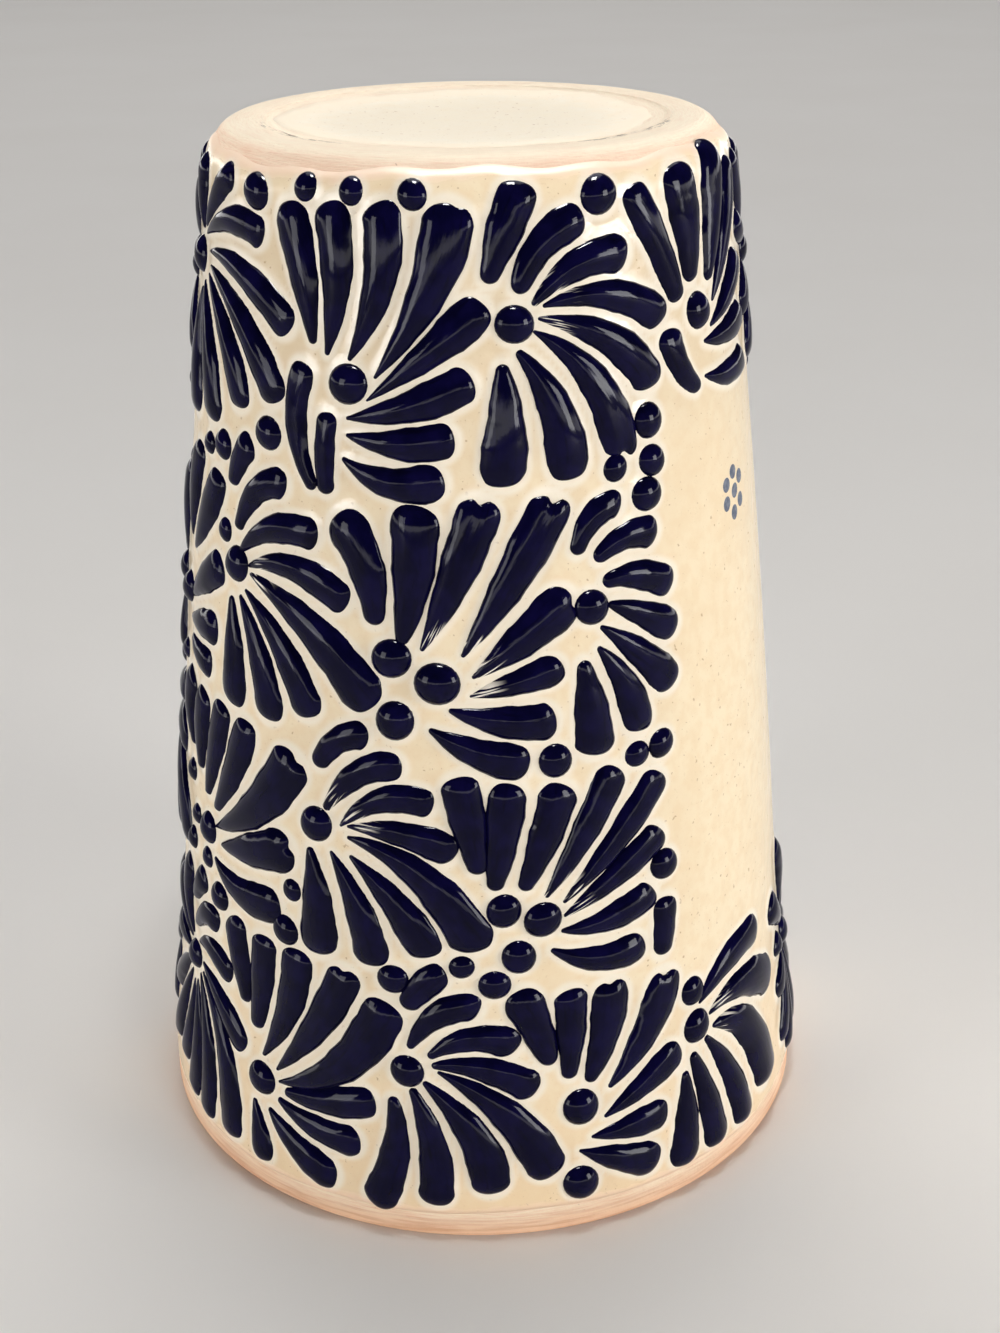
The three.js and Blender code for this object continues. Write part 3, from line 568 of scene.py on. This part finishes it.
        "dots": [(40.6, 23.2, 4.7), (40.1, 28.4, 4.1), (35.8, 18.3, 0.7)],
        "petals": [
            (41.5, 26, 50.5, 30, 61.3, 30.4, 4.5, 0.4, 2.6),
            (43.8, 23.7, 54.3, 24.7, 66, 20.8, 5.5, 0.5),
            (44.5, 21.8, 55, 17.8, 60.8, 6.8, 6, 0.6, 2.6),
            (42.5, 21, 48.8, 13, 51.7, 4.6, 4.3, 0.8),
            (39.1, 19.8, 42.2, 12, 43.9, 4.4, 4.3, 1.3),
            (37.2, 17.8, 36.9, 11.1, 35.4, 4.3, 4.6, 1),
        ],
        "dragged": [1, 2],
    },
    "rim_crown": {
        "moved": (0.5, 0),
        "dots": [(80.5, 21.5, 4.5)],
        "petals": [
            (78, 23.5, 73.7, 27.2, 69, 30.2, 4.4, 0.6),
            (77.6, 21.5, 74.5, 22, 71.6, 23.2, 3.6, 0.5),
            (78, 19.5, 74, 17.4, 70.2, 15.3, 3.8, 0.5),
            (79, 18.3, 75, 12.9, 70.8, 7.8, 4, 0.5),
            (80, 18, 77.5, 11, 75.5, 4.6, 4, 0.6),
            (81.5, 18, 83, 11, 83, 4.6, 4.2, 0.6),
            (83, 19.5, 88, 14, 91, 7.5, 4.2, 0.5),
            (83.5, 21.5, 88.5, 20.5, 93.5, 18.5, 3.8, 0.5),
            (83.2, 23, 88, 26.5, 91.5, 31.5, 4.2, 0.5),
            (81, 25, 81.5, 30, 80, 35.5, 4.2, 0.6),
        ],
    },
}
# Every fan but the side one is drawn again half a turn on. Three more, with no loose dots, fill the back
SIDE_FAN = "side_burst"
BACK_FANS = [("centre_spray", 246), ("right_plume", 224.5), ("middle_fall", -71)]
whole_fans = [(name, 0) for name in FANS]
whole_fans += [(name, 180) for name in FANS if name != SIDE_FAN]
placements = [(name, fan_turn, True) for name, fan_turn in whole_fans]
placements += [(name, fan_turn, False) for name, fan_turn in BACK_FANS]


def placed(numbers, count, fan, turn):
    """The drawn numbers with their first few places moved as the whole fan was set on the cup."""
    degrees, height = fan.get("moved", (0, 0))
    places = np.array(numbers[:2 * count]).reshape(count, 2) + [degrees + turn, height]
    return [*places.ravel(), *numbers[2 * count:]]


def drawn_dots(fan, turn, loose):
    return [placed(dot, 1, fan, turn) for dot in (fan["dots"] if loose else fan["dots"][:1])]


def drawn_petals(fan, turn, loose):
    petals = fan["petals"] + fan.get("bars", []) if loose else fan["petals"]
    return [placed(petal, 3, fan, turn) for petal in petals]


GLAZE = 0.35
WIDEST_AT = 0.85
SWELL = 1.8
SPREAD = 1.08
TIP_ROUND = 0.45
SPINE_POINTS = 60


def glaze_degree(z):
    """Length on the glazed wall of one degree round the cup."""
    return (wall_radius(z) + GLAZE) * math.pi / 180


class Petal:
    """The spine and the width of one petal, measured along it from the tail."""

    def __init__(self, numbers):
        tail, middle, tip = np.array(numbers[:6]).reshape(3, 2)
        self.width, self.tail_width, *slim = numbers[6:]
        self.swell = slim[0] if slim else SWELL
        self.tail_round, self.tip_round = self.tail_width / 2, TIP_ROUND * self.width
        share = np.linspace(0, 1, SPINE_POINTS)[:, None]
        bend = 2 * middle - (tail + tip) / 2
        self.spine = (1 - share) ** 2 * tail + 2 * share * (1 - share) * bend + share ** 2 * tip
        self.degree = glaze_degree(middle[1])
        flat = self.spine * [self.degree, 1]
        steps = np.hypot(*np.diff(flat, axis=0).T)
        self.along = np.concatenate([[0], np.cumsum(steps)])
        self.length = self.along[-1]
        runs = np.gradient(flat, axis=0)
        self.runs = runs / np.hypot(*runs.T)[:, None]

    def at(self, along):
        """Degrees and height of the spine there, and the direction it runs in."""
        return [np.interp(along, self.along, line) for line in (*self.spine.T, *self.runs.T)]

    def half_width(self, along):
        growth = 1 - (1 - np.clip(along / self.length / WIDEST_AT, 0, 1)) ** self.swell
        return SPREAD * (self.tail_width + (self.width - self.tail_width) * growth) / 2


# Glaze: a coat of cream glaze poured outside and inside, wiped off the rim and the foot, with a
# thin wash in the recess. It pools thicker and whiter against the raised petals.
POOL = 0.14
POOL_REACH = 0.9
EDGE_TAPER = 1.3
BACKING = 0.3
BEYOND = 3.0
GLAZE_STEPS = 450
GLAZE_ROWS, BACK_ROWS = 208, 8
SPARE_ROWS, SPARE_STEPS = 4, 2
DISCS = 26
RIM_BARE_BAND = 3.6
FOOT_BARE_BAND = 1.5
INSIDE_BARE_BAND = 2.5
LINER_EDGE = 0.1
LINER_RINGS = 40
WASH = 0.08
WASH_RADIUS = 22.2
WASH_SINK = 0.1
WASH_TAPER = 0.2
WASH_RINGS = 16


def cream_glaze_finish(name, whiter, shine, thin_tone, thin_reach):
    """Cream glaze, with the tone of its thin wiped edges and how far in from an edge they reach."""
    material, coat = new_finish(name)
    place = coat.place()
    height = place.part(2)
    gap = coat.node("Attribute", {"attribute_name": "gap"}, {}, output=2)
    inland = coat.node("Attribute", {"attribute_name": "inland"}, {}, output=2)
    broad = coat.cloud(place, 0.09, 3.0)
    mottle = coat.cloud(place, 0.55, 4.0)
    fine = coat.cloud(place, 2.6, 3.0)
    cream = mottle.rise(0.35, 0.7).over(tint((251, 232, 198)), tint((247, 224, 187)))
    clouded = (broad.rise(0.42, 0.7) * 0.4).over(cream, tint((243, 218, 180)))
    # It is warmer near the rim
    near_rim = (1 - height.rise(2, 34)) * 0.5
    warmed = near_rim.over(clouded, tint((246, 212, 166)))
    # Painted shade: the upper wall below the shoulder is darker, as if less light fell on it
    painted_shade_high = height.rise(84, 122) * (1 - height.rise(124, 129)) * 0.6
    shaded_high_wall = painted_shade_high.over(warmed, tint((224, 202, 168)))
    pale = ((mottle + 0.4) * whiter).over(shaded_high_wall, tint((255, 245, 224)))
    speck = coat.cloud(place, 1.7, 1.0).rise(0.72, 0.75)
    specked = (speck * 0.55).over(pale, tint((184, 146, 100)))
    dusted = (fine.rise(0.62, 0.74) * 0.22).over(specked, tint((214, 184, 140)))
    pooled = 1 - gap.rise(0.05, 1.0)
    haloed = (pooled * 0.8).over(dusted, tint((255, 245, 226)))
    # Thin glaze at the wiped edges lets the pink clay through
    wiped = 1 - (inland + (mottle - 0.5) * thin_reach).rise(0.2, thin_reach)
    edged = (wiped * 0.85).over(haloed, tint(thin_tone))
    coat.fire({
        "Base Color": edged,
        "Roughness": shine + mottle * 0.1 + wiped * 0.35,
        "Specular IOR Level": 0.45,
        "Normal": coat.relief(mottle * 0.6 + broad, 0.0001),
    })
    return material


def wavy(along, *waves):
    """An uneven line, the sum of waves of (height, count, start)."""
    return sum(height * np.sin(count * along + start) for height, count, start in waves)


glaze_turn = np.arange(GLAZE_STEPS) * 2 * np.pi / GLAZE_STEPS
low_edge = RIM_BARE_BAND + wavy(glaze_turn, (0.25, 3, 1), (0.12, 11, 0))
high_edge = HEIGHT - FOOT_BARE_BAND + wavy(glaze_turn, (0.35, 2, 0.5), (0.3, 5, 2), (0.2, 17, 0))
glaze_z = low_edge + (high_edge - low_edge) * np.linspace(0, 1, GLAZE_ROWS)[:, None]
slip_gap = np.full(glaze_z.shape, BEYOND)


def mark_gap(degrees, z, radius):
    """Keeps, round one disc of slip, how far each point of the glaze is from it."""
    reach = radius + BEYOND
    row = int((z - RIM_BARE_BAND) / (high_edge.mean() - RIM_BARE_BAND) * GLAZE_ROWS)
    column = round(degrees / 360 * GLAZE_STEPS)
    tall = int(reach / HEIGHT * GLAZE_ROWS) + SPARE_ROWS
    wide = int(reach / glaze_degree(z) / 360 * GLAZE_STEPS) + SPARE_STEPS
    near = np.ix_(
        np.arange(max(0, row - tall), min(GLAZE_ROWS, row + tall)),
        np.arange(column - wide, column + wide) % GLAZE_STEPS,
    )
    aside = np.degrees(glaze_turn)[near[1]] - degrees
    aside = (aside + 180) % 360 - 180
    away = np.hypot(aside * glaze_degree(z), glaze_z[near] - z) - radius
    slip_gap[near] = np.minimum(slip_gap[near], away)


for name, fan_turn, loose in placements:
    for degrees, z, size in drawn_dots(FANS[name], fan_turn, loose):
        mark_gap(degrees, z, size / 2)
    for numbers in drawn_petals(FANS[name], fan_turn, loose):
        petal = Petal(numbers)
        for along in np.linspace(petal.tail_round, petal.length - petal.tip_round, DISCS):
            degrees, z, _, _ = petal.at(along)
            mark_gap(degrees, z, petal.half_width(along))

from_edge = np.minimum(glaze_z - low_edge, high_edge - glaze_z)
taper = 1 - np.clip(from_edge / EDGE_TAPER, 0, 1)
pool = 1 - np.clip(slip_gap / POOL_REACH, 0, 1)
thickness = GLAZE * np.sqrt(1 - taper ** 2) + POOL * pool ** 2
glaze_skin = [(wall_radius(z) + coat, z) for z, coat in zip(glaze_z, thickness)]
back_rows = np.linspace(GLAZE_ROWS - 1, 0, BACK_ROWS).astype(int)
glaze_back = [(wall_radius(z) - BACKING, z) for z in glaze_z[back_rows]]
glaze_points, glaze_faces = turned(glaze_skin + glaze_back, GLAZE_STEPS, closed=True)
hidden = np.full(BACK_ROWS * GLAZE_STEPS, BEYOND)
glaze_marks = {
    "gap": np.concatenate([slip_gap.ravel(), hidden]),
    "inland": np.concatenate([from_edge.ravel(), hidden]),
}
cream_glaze = cream_glaze_finish("cream_glaze", 0.0, 0.12, (246, 214, 186), 1.6)
lay_piece("glaze_outside", glaze_points, glaze_faces, cream_glaze, ["outer_glaze"],
          glaze_marks)

liner_corner = INSIDE_CORNER - GLAZE
liner_floor = [(0.0, floor_z - GLAZE)] + [
    (corner_centre + liner_corner * np.cos(angle), corner_z + liner_corner * np.sin(angle))
    for angle in corner_angles
]
liner_z = np.linspace(corner_z, INSIDE_BARE_BAND, LINER_RINGS)[1:]
liner_wall = [(inside_radius(z) - GLAZE * min(1, z - INSIDE_BARE_BAND + LINER_EDGE), z) for z in liner_z]
liner_back = [(radius + GLAZE + BACKING, z) for radius, z in reversed(liner_wall)]
liner_rings = liner_floor + liner_wall + liner_back + [(0.0, floor_z + BACKING)]
liner_points, liner_faces = turned(liner_rings, TURN_STEPS)
liner_marks = {mark: np.full(len(liner_points), BEYOND) for mark in glaze_marks}
lay_piece("glaze_inside", liner_points, liner_faces, cream_glaze, ["inner_glaze"],
          liner_marks, weld=True)

wash_turn = np.arange(TURN_STEPS) * 2 * np.pi / TURN_STEPS
ragged = WASH_RADIUS + wavy(wash_turn, (0.5, 3, 0), (0.3, 8, 1), (0.18, 21, 2))
wash_rings = [(ragged, dish_z(ragged) - WASH_SINK), (ragged - WASH_TAPER, dish_z(ragged) + WASH / 2)]
wash_rings += [
    (ragged * share, dish_z(ragged * share) + WASH)
    for share in np.linspace(0.95, 0, WASH_RINGS)
]
wash_rings += [(ragged * 0, recess_z - WASH_SINK)]
wash_points, wash_faces = turned(wash_rings, TURN_STEPS)
base_glaze = cream_glaze_finish("base_glaze", 0.75, 0.45, (255, 238, 211), 7)
wash_marks = {
    "gap": np.full(len(wash_points), BEYOND),
    "inland": np.resize(ragged, len(wash_points)) - np.hypot(*wash_points[:, :2].T),
}
lay_piece("glaze_base", wash_points, wash_faces, base_glaze, ["base_glaze"], wash_marks,
          weld=True)

# Petals: thick cobalt slip squeezed onto the glaze from a bulb, each petal started at its broad tip
# and drawn off to a thin tail at the dot. It fires glossy and stands about a millimetre proud.
RELIEF = 1.25
FULL_WIDTH, SLIM_POWER = 4.5, 0.6
SINK = 0.1
ACROSS = 13
TAIL_ROWS, BODY_ROWS, TIP_ROWS = 7, 16, 10
EDGE_POWER, CROWN_POWER = 2.0, 0.6
BLUNT = 0.75
TILT, TILT_REACH = 0.16, 0.6
NOTCH_WIDTH = 0.24
CREASE, CREASE_LIMIT = 0.3, 0.6
RIDGE = 0.04
DROOP, DROOP_FROM = 0.32, 0.5
DRAG_REACH = 5
DOT_RELIEF = 0.3
DOT_WOBBLE = 0.03
DOT_SIDES, DOT_RINGS = 22, 7
STREAKS_ALONG, STREAKS_ACROSS, STREAKS_ON_DOT = 0.25, 1.6, 0.6
STREAK_SHIFT = 7.3
NUDGE = 0.05


def cobalt_slip_finish():
    material, coat = new_finish("cobalt_slip")
    place = coat.place()
    crown = coat.node("Attribute", {"attribute_name": "crown"}, {}, output=2)
    drag = coat.node("Attribute", {"attribute_name": "drag"}, {}, output=2)
    along = coat.node("Attribute", {"attribute_name": "along_petal"}, {}, output=1)
    depth = coat.cloud(place, 0.35, 3.0)
    brushed = coat.cloud(along, 1.0, 3.0)
    drawn_out = coat.node("VectorMath", {"operation": "MULTIPLY"}, {0: along, 1: (0.3, 1.0, 1.0)})
    streaks = coat.cloud(drawn_out, 1.8, 2.0)
    navy = depth.rise(0.35, 0.7).over(tint((5, 4, 34)), tint((11, 8, 48)))
    inked = (brushed.rise(0.5, 0.75) * 0.6).over(navy, tint((3, 2, 18)))
    thin = (1 - crown.rise(0.05, 0.35)) * 0.25
    edged = thin.over(inked, tint((26, 20, 52)))
    # A dragged tail lets the pale glaze through in streaks
    scraped = (streaks - crown * 0.1).rise(0.47, 0.52) * drag.rise(0.05, 0.5)
    streaked = scraped.over(edged, tint((240, 232, 220)))
    coat.fire({
        "Base Color": streaked,
        "Roughness": 0.04 + brushed * 0.08,
        "Specular IOR Level": 0.13,
        "Normal": coat.relief(brushed * 0.7 + depth * 0.3, 0.00004),
    })
    return material


def on_glaze(degrees, z, lift):
    """Points at a height above the glaze, measured square to the wall."""
    slope = (wall_radius(z + NUDGE) - wall_radius(z - NUDGE)) / (2 * NUDGE)
    lean = np.hypot(1, slope)
    radius = wall_radius(z) + GLAZE + lift / lean
    turn = np.radians(degrees)
    return np.column_stack([radius * np.sin(turn), -radius * np.cos(turn), z - lift * slope / lean])


def dome(from_middle):
    return np.clip(1 - from_middle ** EDGE_POWER, 0, 1) ** CROWN_POWER


def petal_faces(row_count):
    """Faces over a petal's rows, the first and the last of which are single points."""
    inner = np.arange(row_count - 2)[:, None] * ACROSS + np.arange(ACROSS) + 1
    tail, tip = 0, inner[-1, -1] + 1
    top = np.stack([inner[:-1, :-1], inner[1:, :-1], inner[1:, 1:], inner[:-1, 1:]], -1).reshape(-1, 4)
    under = np.stack([inner[:-1, -1], inner[1:, -1], inner[1:, 0], inner[:-1, 0]], -1)
    ends = [(tail, left, right) for left, right in zip(inner[0], inner[0, 1:])]
    ends += [(left, tip, right) for left, right in zip(inner[-1], inner[-1, 1:])]
    ends += [(tail, inner[0, -1], inner[0, 0]), (inner[-1, -1], tip, inner[-1, 0])]
    return [*top, *under, *ends]


def trail_petal(petal, number, notch, dragged):
    """A petal's points, faces and marks: rows along it from tail to tip, on a flat bottom."""
    tail_angle = np.linspace(-math.pi / 2, 0, TAIL_ROWS)[1:-1]
    tip_angle = np.linspace(0, math.pi / 2, TIP_ROWS)[1:-1]
    tail_rows = petal.tail_round * (1 + np.sin(tail_angle))
    body_rows = np.linspace(petal.tail_round, petal.length - petal.tip_round, BODY_ROWS)
    tip_rows = petal.length - petal.tip_round * (1 - np.sin(tip_angle))
    rows = np.concatenate([[0], tail_rows, body_rows, tip_rows, [petal.length]])[:, None]
    share = rows / petal.length
    blunted = np.cos(tip_angle) ** BLUNT
    narrow = np.concatenate([[0], np.cos(tail_angle), np.ones(BODY_ROWS), blunted, [0]])[:, None]
    across = np.sin(np.linspace(-math.pi / 2, math.pi / 2, ACROSS))
    wobble = wavy(rows, (0.035, 1.1, number), (0.02, 2.7, 2 * number))
    half = petal.half_width(rows)
    aside = across * narrow * half * (1 + wobble)
    from_middle = np.sqrt((across * narrow) ** 2 + 1 - narrow ** 2)
    # The tip leans to one side, and a notch splits it where two squeezes of slip lie side by side
    notch_at, notch_depth, tilt = notch
    near_tip = np.clip(1 + (rows - petal.length) / (TILT_REACH * petal.width), 0, 1) ** 2
    split = np.exp(-((aside / petal.width * 2 - notch_at) / NOTCH_WIDTH) ** 2)
    along = np.clip(rows + (tilt * aside - notch_depth * split) * near_tip, 0, petal.length)
    crease = share * split * min(notch_depth, CREASE_LIMIT) * CREASE
    ridges = share * wavy(across, (RIDGE, 4.5, 1.7 * number))
    droop = 1 - DROOP * np.clip((share - DROOP_FROM) / (1 - DROOP_FROM), 0, 1) ** 2
    thickest = RELIEF * (2 * half / FULL_WIDTH) ** SLIM_POWER * droop
    height = thickest * dome(from_middle) * (1 + ridges - crease) - SINK
    degrees, z, run_x, run_z = petal.at(along)
    points = on_glaze(
        (degrees - run_z * aside / petal.degree).ravel(), (z + run_x * aside).ravel(), height.ravel()
    )
    drag = np.clip(1 - along / DRAG_REACH, 0, 1) * dragged
    marks = {
        "crown": dome(from_middle).ravel(),
        "drag": drag.ravel(),
        "along_petal": np.column_stack([
            (STREAKS_ALONG * along).ravel(),
            (STREAKS_ACROSS * aside).ravel(),
            np.full(along.size, STREAK_SHIFT * number),
        ]),
    }
    last = (len(rows) - 1) * ACROSS
    keep = np.concatenate([[0], np.arange(ACROSS, last + 1)])
    return points[keep], petal_faces(len(rows)), {name: mark[keep] for name, mark in marks.items()}


def drop_dot(dot, number, relief=DOT_RELIEF):
    """A dot's points, faces and marks: rings from its foot to its crown, on a flat bottom."""
    degrees, z, size = dot
    angle = np.arange(DOT_SIDES) * 2 * np.pi / DOT_SIDES
    share = np.sin(np.linspace(math.pi / 2, 0, DOT_RINGS + 1))[:-1, None]
    reach = size / 2 * share * (1 + wavy(angle, (DOT_WOBBLE, 2, number)))
    aside = np.append(reach * np.cos(angle), 0)
    up = np.append(reach * np.sin(angle), 0)
    crown = np.append(np.repeat(dome(share), DOT_SIDES), 1)
    points = on_glaze(degrees + aside / glaze_degree(z), z + up, relief * size * crown - SINK)
    marks = {
        "crown": crown,
        "drag": np.zeros(crown.size),
        "along_petal": np.column_stack([
            STREAKS_ON_DOT * aside, STREAKS_ON_DOT * up, np.full(crown.size, STREAK_SHIFT * number)
        ]),
    }
    ring = np.arange(DOT_RINGS * DOT_SIDES).reshape(DOT_RINGS, DOT_SIDES)
    following = np.roll(ring, -1, axis=1)
    faces = np.stack([ring[:-1], following[:-1], following[1:], ring[1:]], -1).reshape(-1, 4)
    top = [(left, right, ring.size) for left, right in zip(ring[-1], following[-1])]
    return points, [*faces, *top, ring[0][::-1]], marks


def join(shapes):
    """Several shapes as the points, faces and marks of one."""
    points, faces, marks, start = [], [], [], 0
    for shape_points, shape_faces, shape_marks in shapes:
        points.append(shape_points)
        faces += [[corner + start for corner in face] for face in shape_faces]
        marks.append(shape_marks)
        start += len(shape_points)
    joined = {name: np.concatenate([mark[name] for mark in marks]) for name in marks[0]}
    return np.concatenate(points), faces, joined


cobalt_slip = cobalt_slip_finish()
for number, (name, fan_turn, loose) in enumerate(placements, 1):
    fan = FANS[name]
    shapes = []
    # A notched tip has the notch's place across it, its depth and the tip's lean
    for i, numbers in enumerate(drawn_petals(fan, fan_turn, loose)):
        stroke = number + 3 * i
        plain_tip = 0, 0, TILT * math.sin(2.4 * stroke)
        notch = fan.get("notched", {}).get(i, plain_tip)
        dragged = i in fan.get("dragged", [])
        shapes.append(trail_petal(Petal(numbers), stroke, notch, dragged))
    for i, dot in enumerate(drawn_dots(fan, fan_turn, loose)):
        shapes.append(drop_dot(dot, number + 5 * i))
    fan_points, fan_faces, fan_marks = join(shapes)
    lay_piece(f"petals_{number:02d}_{name}", fan_points, fan_faces, cobalt_slip,
              [f"petal_fan_{number:02d}"], fan_marks)

# Dot flower: six touches of the brush round a seventh, in cobalt thinned to a grey blue.
# They lie flat on the bare panel of glaze, with hardly any thickness of their own.
FLOWER = [(62.5, 90), (58.8, 91.3), (62.1, 92.4), (65.3, 91.3), (65.2, 88.4), (61.8, 87.4), (58.6, 89)]
TOUCH = 2.3
TOUCH_RELIEF = 0.08


def thin_cobalt_finish():
    material, coat = new_finish("thin_cobalt")
    crown = coat.node("Attribute", {"attribute_name": "crown"}, {}, output=2)
    wash = coat.cloud(coat.place(), 1.4, 3.0)
    blue = wash.rise(0.35, 0.7).over(tint((88, 96, 116)), tint((122, 128, 142)))
    pale = (1 - crown.rise(0.0, 0.4)) * 0.3
    coat.fire({
        "Base Color": pale.over(blue, tint((176, 174, 172))),
        "Roughness": 0.14 + wash * 0.1,
        "Specular IOR Level": 0.45,
    })
    return material


touches = [drop_dot((*spot, TOUCH), i, TOUCH_RELIEF) for i, spot in enumerate(FLOWER)]
flower_points, flower_faces, flower_marks = join(touches)
lay_piece("dot_flower", flower_points, flower_faces, thin_cobalt_finish(), (), flower_marks)

# Stage: a plain pale floor, soft lamps and a dim room round the cup, none of them part of it.
# The camera stands where the photograph was taken, in front of the cup and looking down on it.
IMAGE_LONG_SIDE = 1333
SENSOR = 36
FOCAL_PIXELS = 1900
PITCH, ROLL = math.radians(24.72), math.radians(-0.70)
AIM = np.array([3.1, 0, 59.42])
DISTANCE = 256.5
NEAREST = 0.01
FLOOR_SIZE = 3.6
ROOM_LIGHT = 3.6
# Each lamp has a place, a width and a power, in metres and watts
LAMPS = {
    "key": ((1.05, -0.55, 0.28), 0.4, 7.4),
    "fill": ((-0.95, -0.7, 0.28), 0.45, 4.5),
    "top": ((0.02, -0.04, 0.4), 0.026, 0.22),
    "glint": ((0.03, 0.0, 0.5), 0.13, 4.6),
    "ceiling": ((0.0, 1.2, 2.6), 2.4, 50.0),
}

side = FLOOR_SIZE / 2
floor_corners = [(-side, -side, 0), (side, -side, 0), (side, side, 0), (-side, side, 0)]
floor_mesh = bpy.data.meshes.new("floor")
floor_mesh.from_pydata(floor_corners, [], [(0, 1, 2, 3)])
floor = bpy.data.objects.new("floor", floor_mesh)
bpy.context.scene.collection.objects.link(floor)
floor_material, floor_coat = new_finish("pale_floor")
floor_cloud = floor_coat.cloud(floor_coat.place(), 0.01, 3.0)
floor_coat.fire({
    "Base Color": floor_cloud.over(tint((224, 220, 214)), tint((229, 226, 221))),
    "Roughness": 0.8,
})
floor_mesh.materials.append(floor_material)

for name, (place, size, power) in LAMPS.items():
    lamp = bpy.data.lights.new(name, "AREA")
    lamp.size = size
    lamp.energy = power
    holder = bpy.data.objects.new(name, lamp)
    holder.location = place
    # The glint shows only in the gloss of the slip and the glaze
    holder.visible_diffuse = name != "glint"
    towards = Vector((0, 0, HEIGHT * MM / 2)) - holder.location
    holder.rotation_euler = towards.to_track_quat("-Z", "Y").to_euler()
    bpy.context.scene.collection.objects.link(holder)

# The room's walls are pale low down, which shows as a thin line in the gloss
world = bpy.data.worlds.new("room")
world.use_nodes = True
world.node_tree.nodes.clear()
room = Coat(world.node_tree)
climb = room.node("TexCoord", {}, {}).part(2)
above_floor = climb.rise(-0.005, 0.005)
far = above_floor.over(tint((108, 106, 104)), tint((27, 27, 31)))
band = above_floor * (1 - climb.rise(0.06, 0.12))
shade = band.over(far, tint((255, 253, 250)))
room_light = room.node("Background", {}, {"Color": shade, "Strength": ROOM_LIGHT})
room.node("OutputWorld", {}, {"Surface": room_light})
bpy.context.scene.world = world

backward = np.array([0, -math.cos(PITCH), math.sin(PITCH)])
level, upright = np.array([1, 0, 0]), np.array([0, math.sin(PITCH), math.cos(PITCH)])
right = math.cos(ROLL) * level + math.sin(ROLL) * upright
above = -math.sin(ROLL) * level + math.cos(ROLL) * upright
lens = bpy.data.cameras.new("camera")
lens.sensor_width = SENSOR
lens.lens = FOCAL_PIXELS * SENSOR / IMAGE_LONG_SIDE
lens.clip_start = NEAREST
camera = bpy.data.objects.new("camera", lens)
stand = np.eye(4)
stand[:3, :3] = np.column_stack([right, above, backward])
stand[:3, 3] = (AIM + DISTANCE * backward) * MM
camera.matrix_world = Matrix(stand.tolist())
bpy.context.scene.collection.objects.link(camera)
bpy.context.scene.camera = camera
bpy.context.scene.view_settings.view_transform = "Standard"
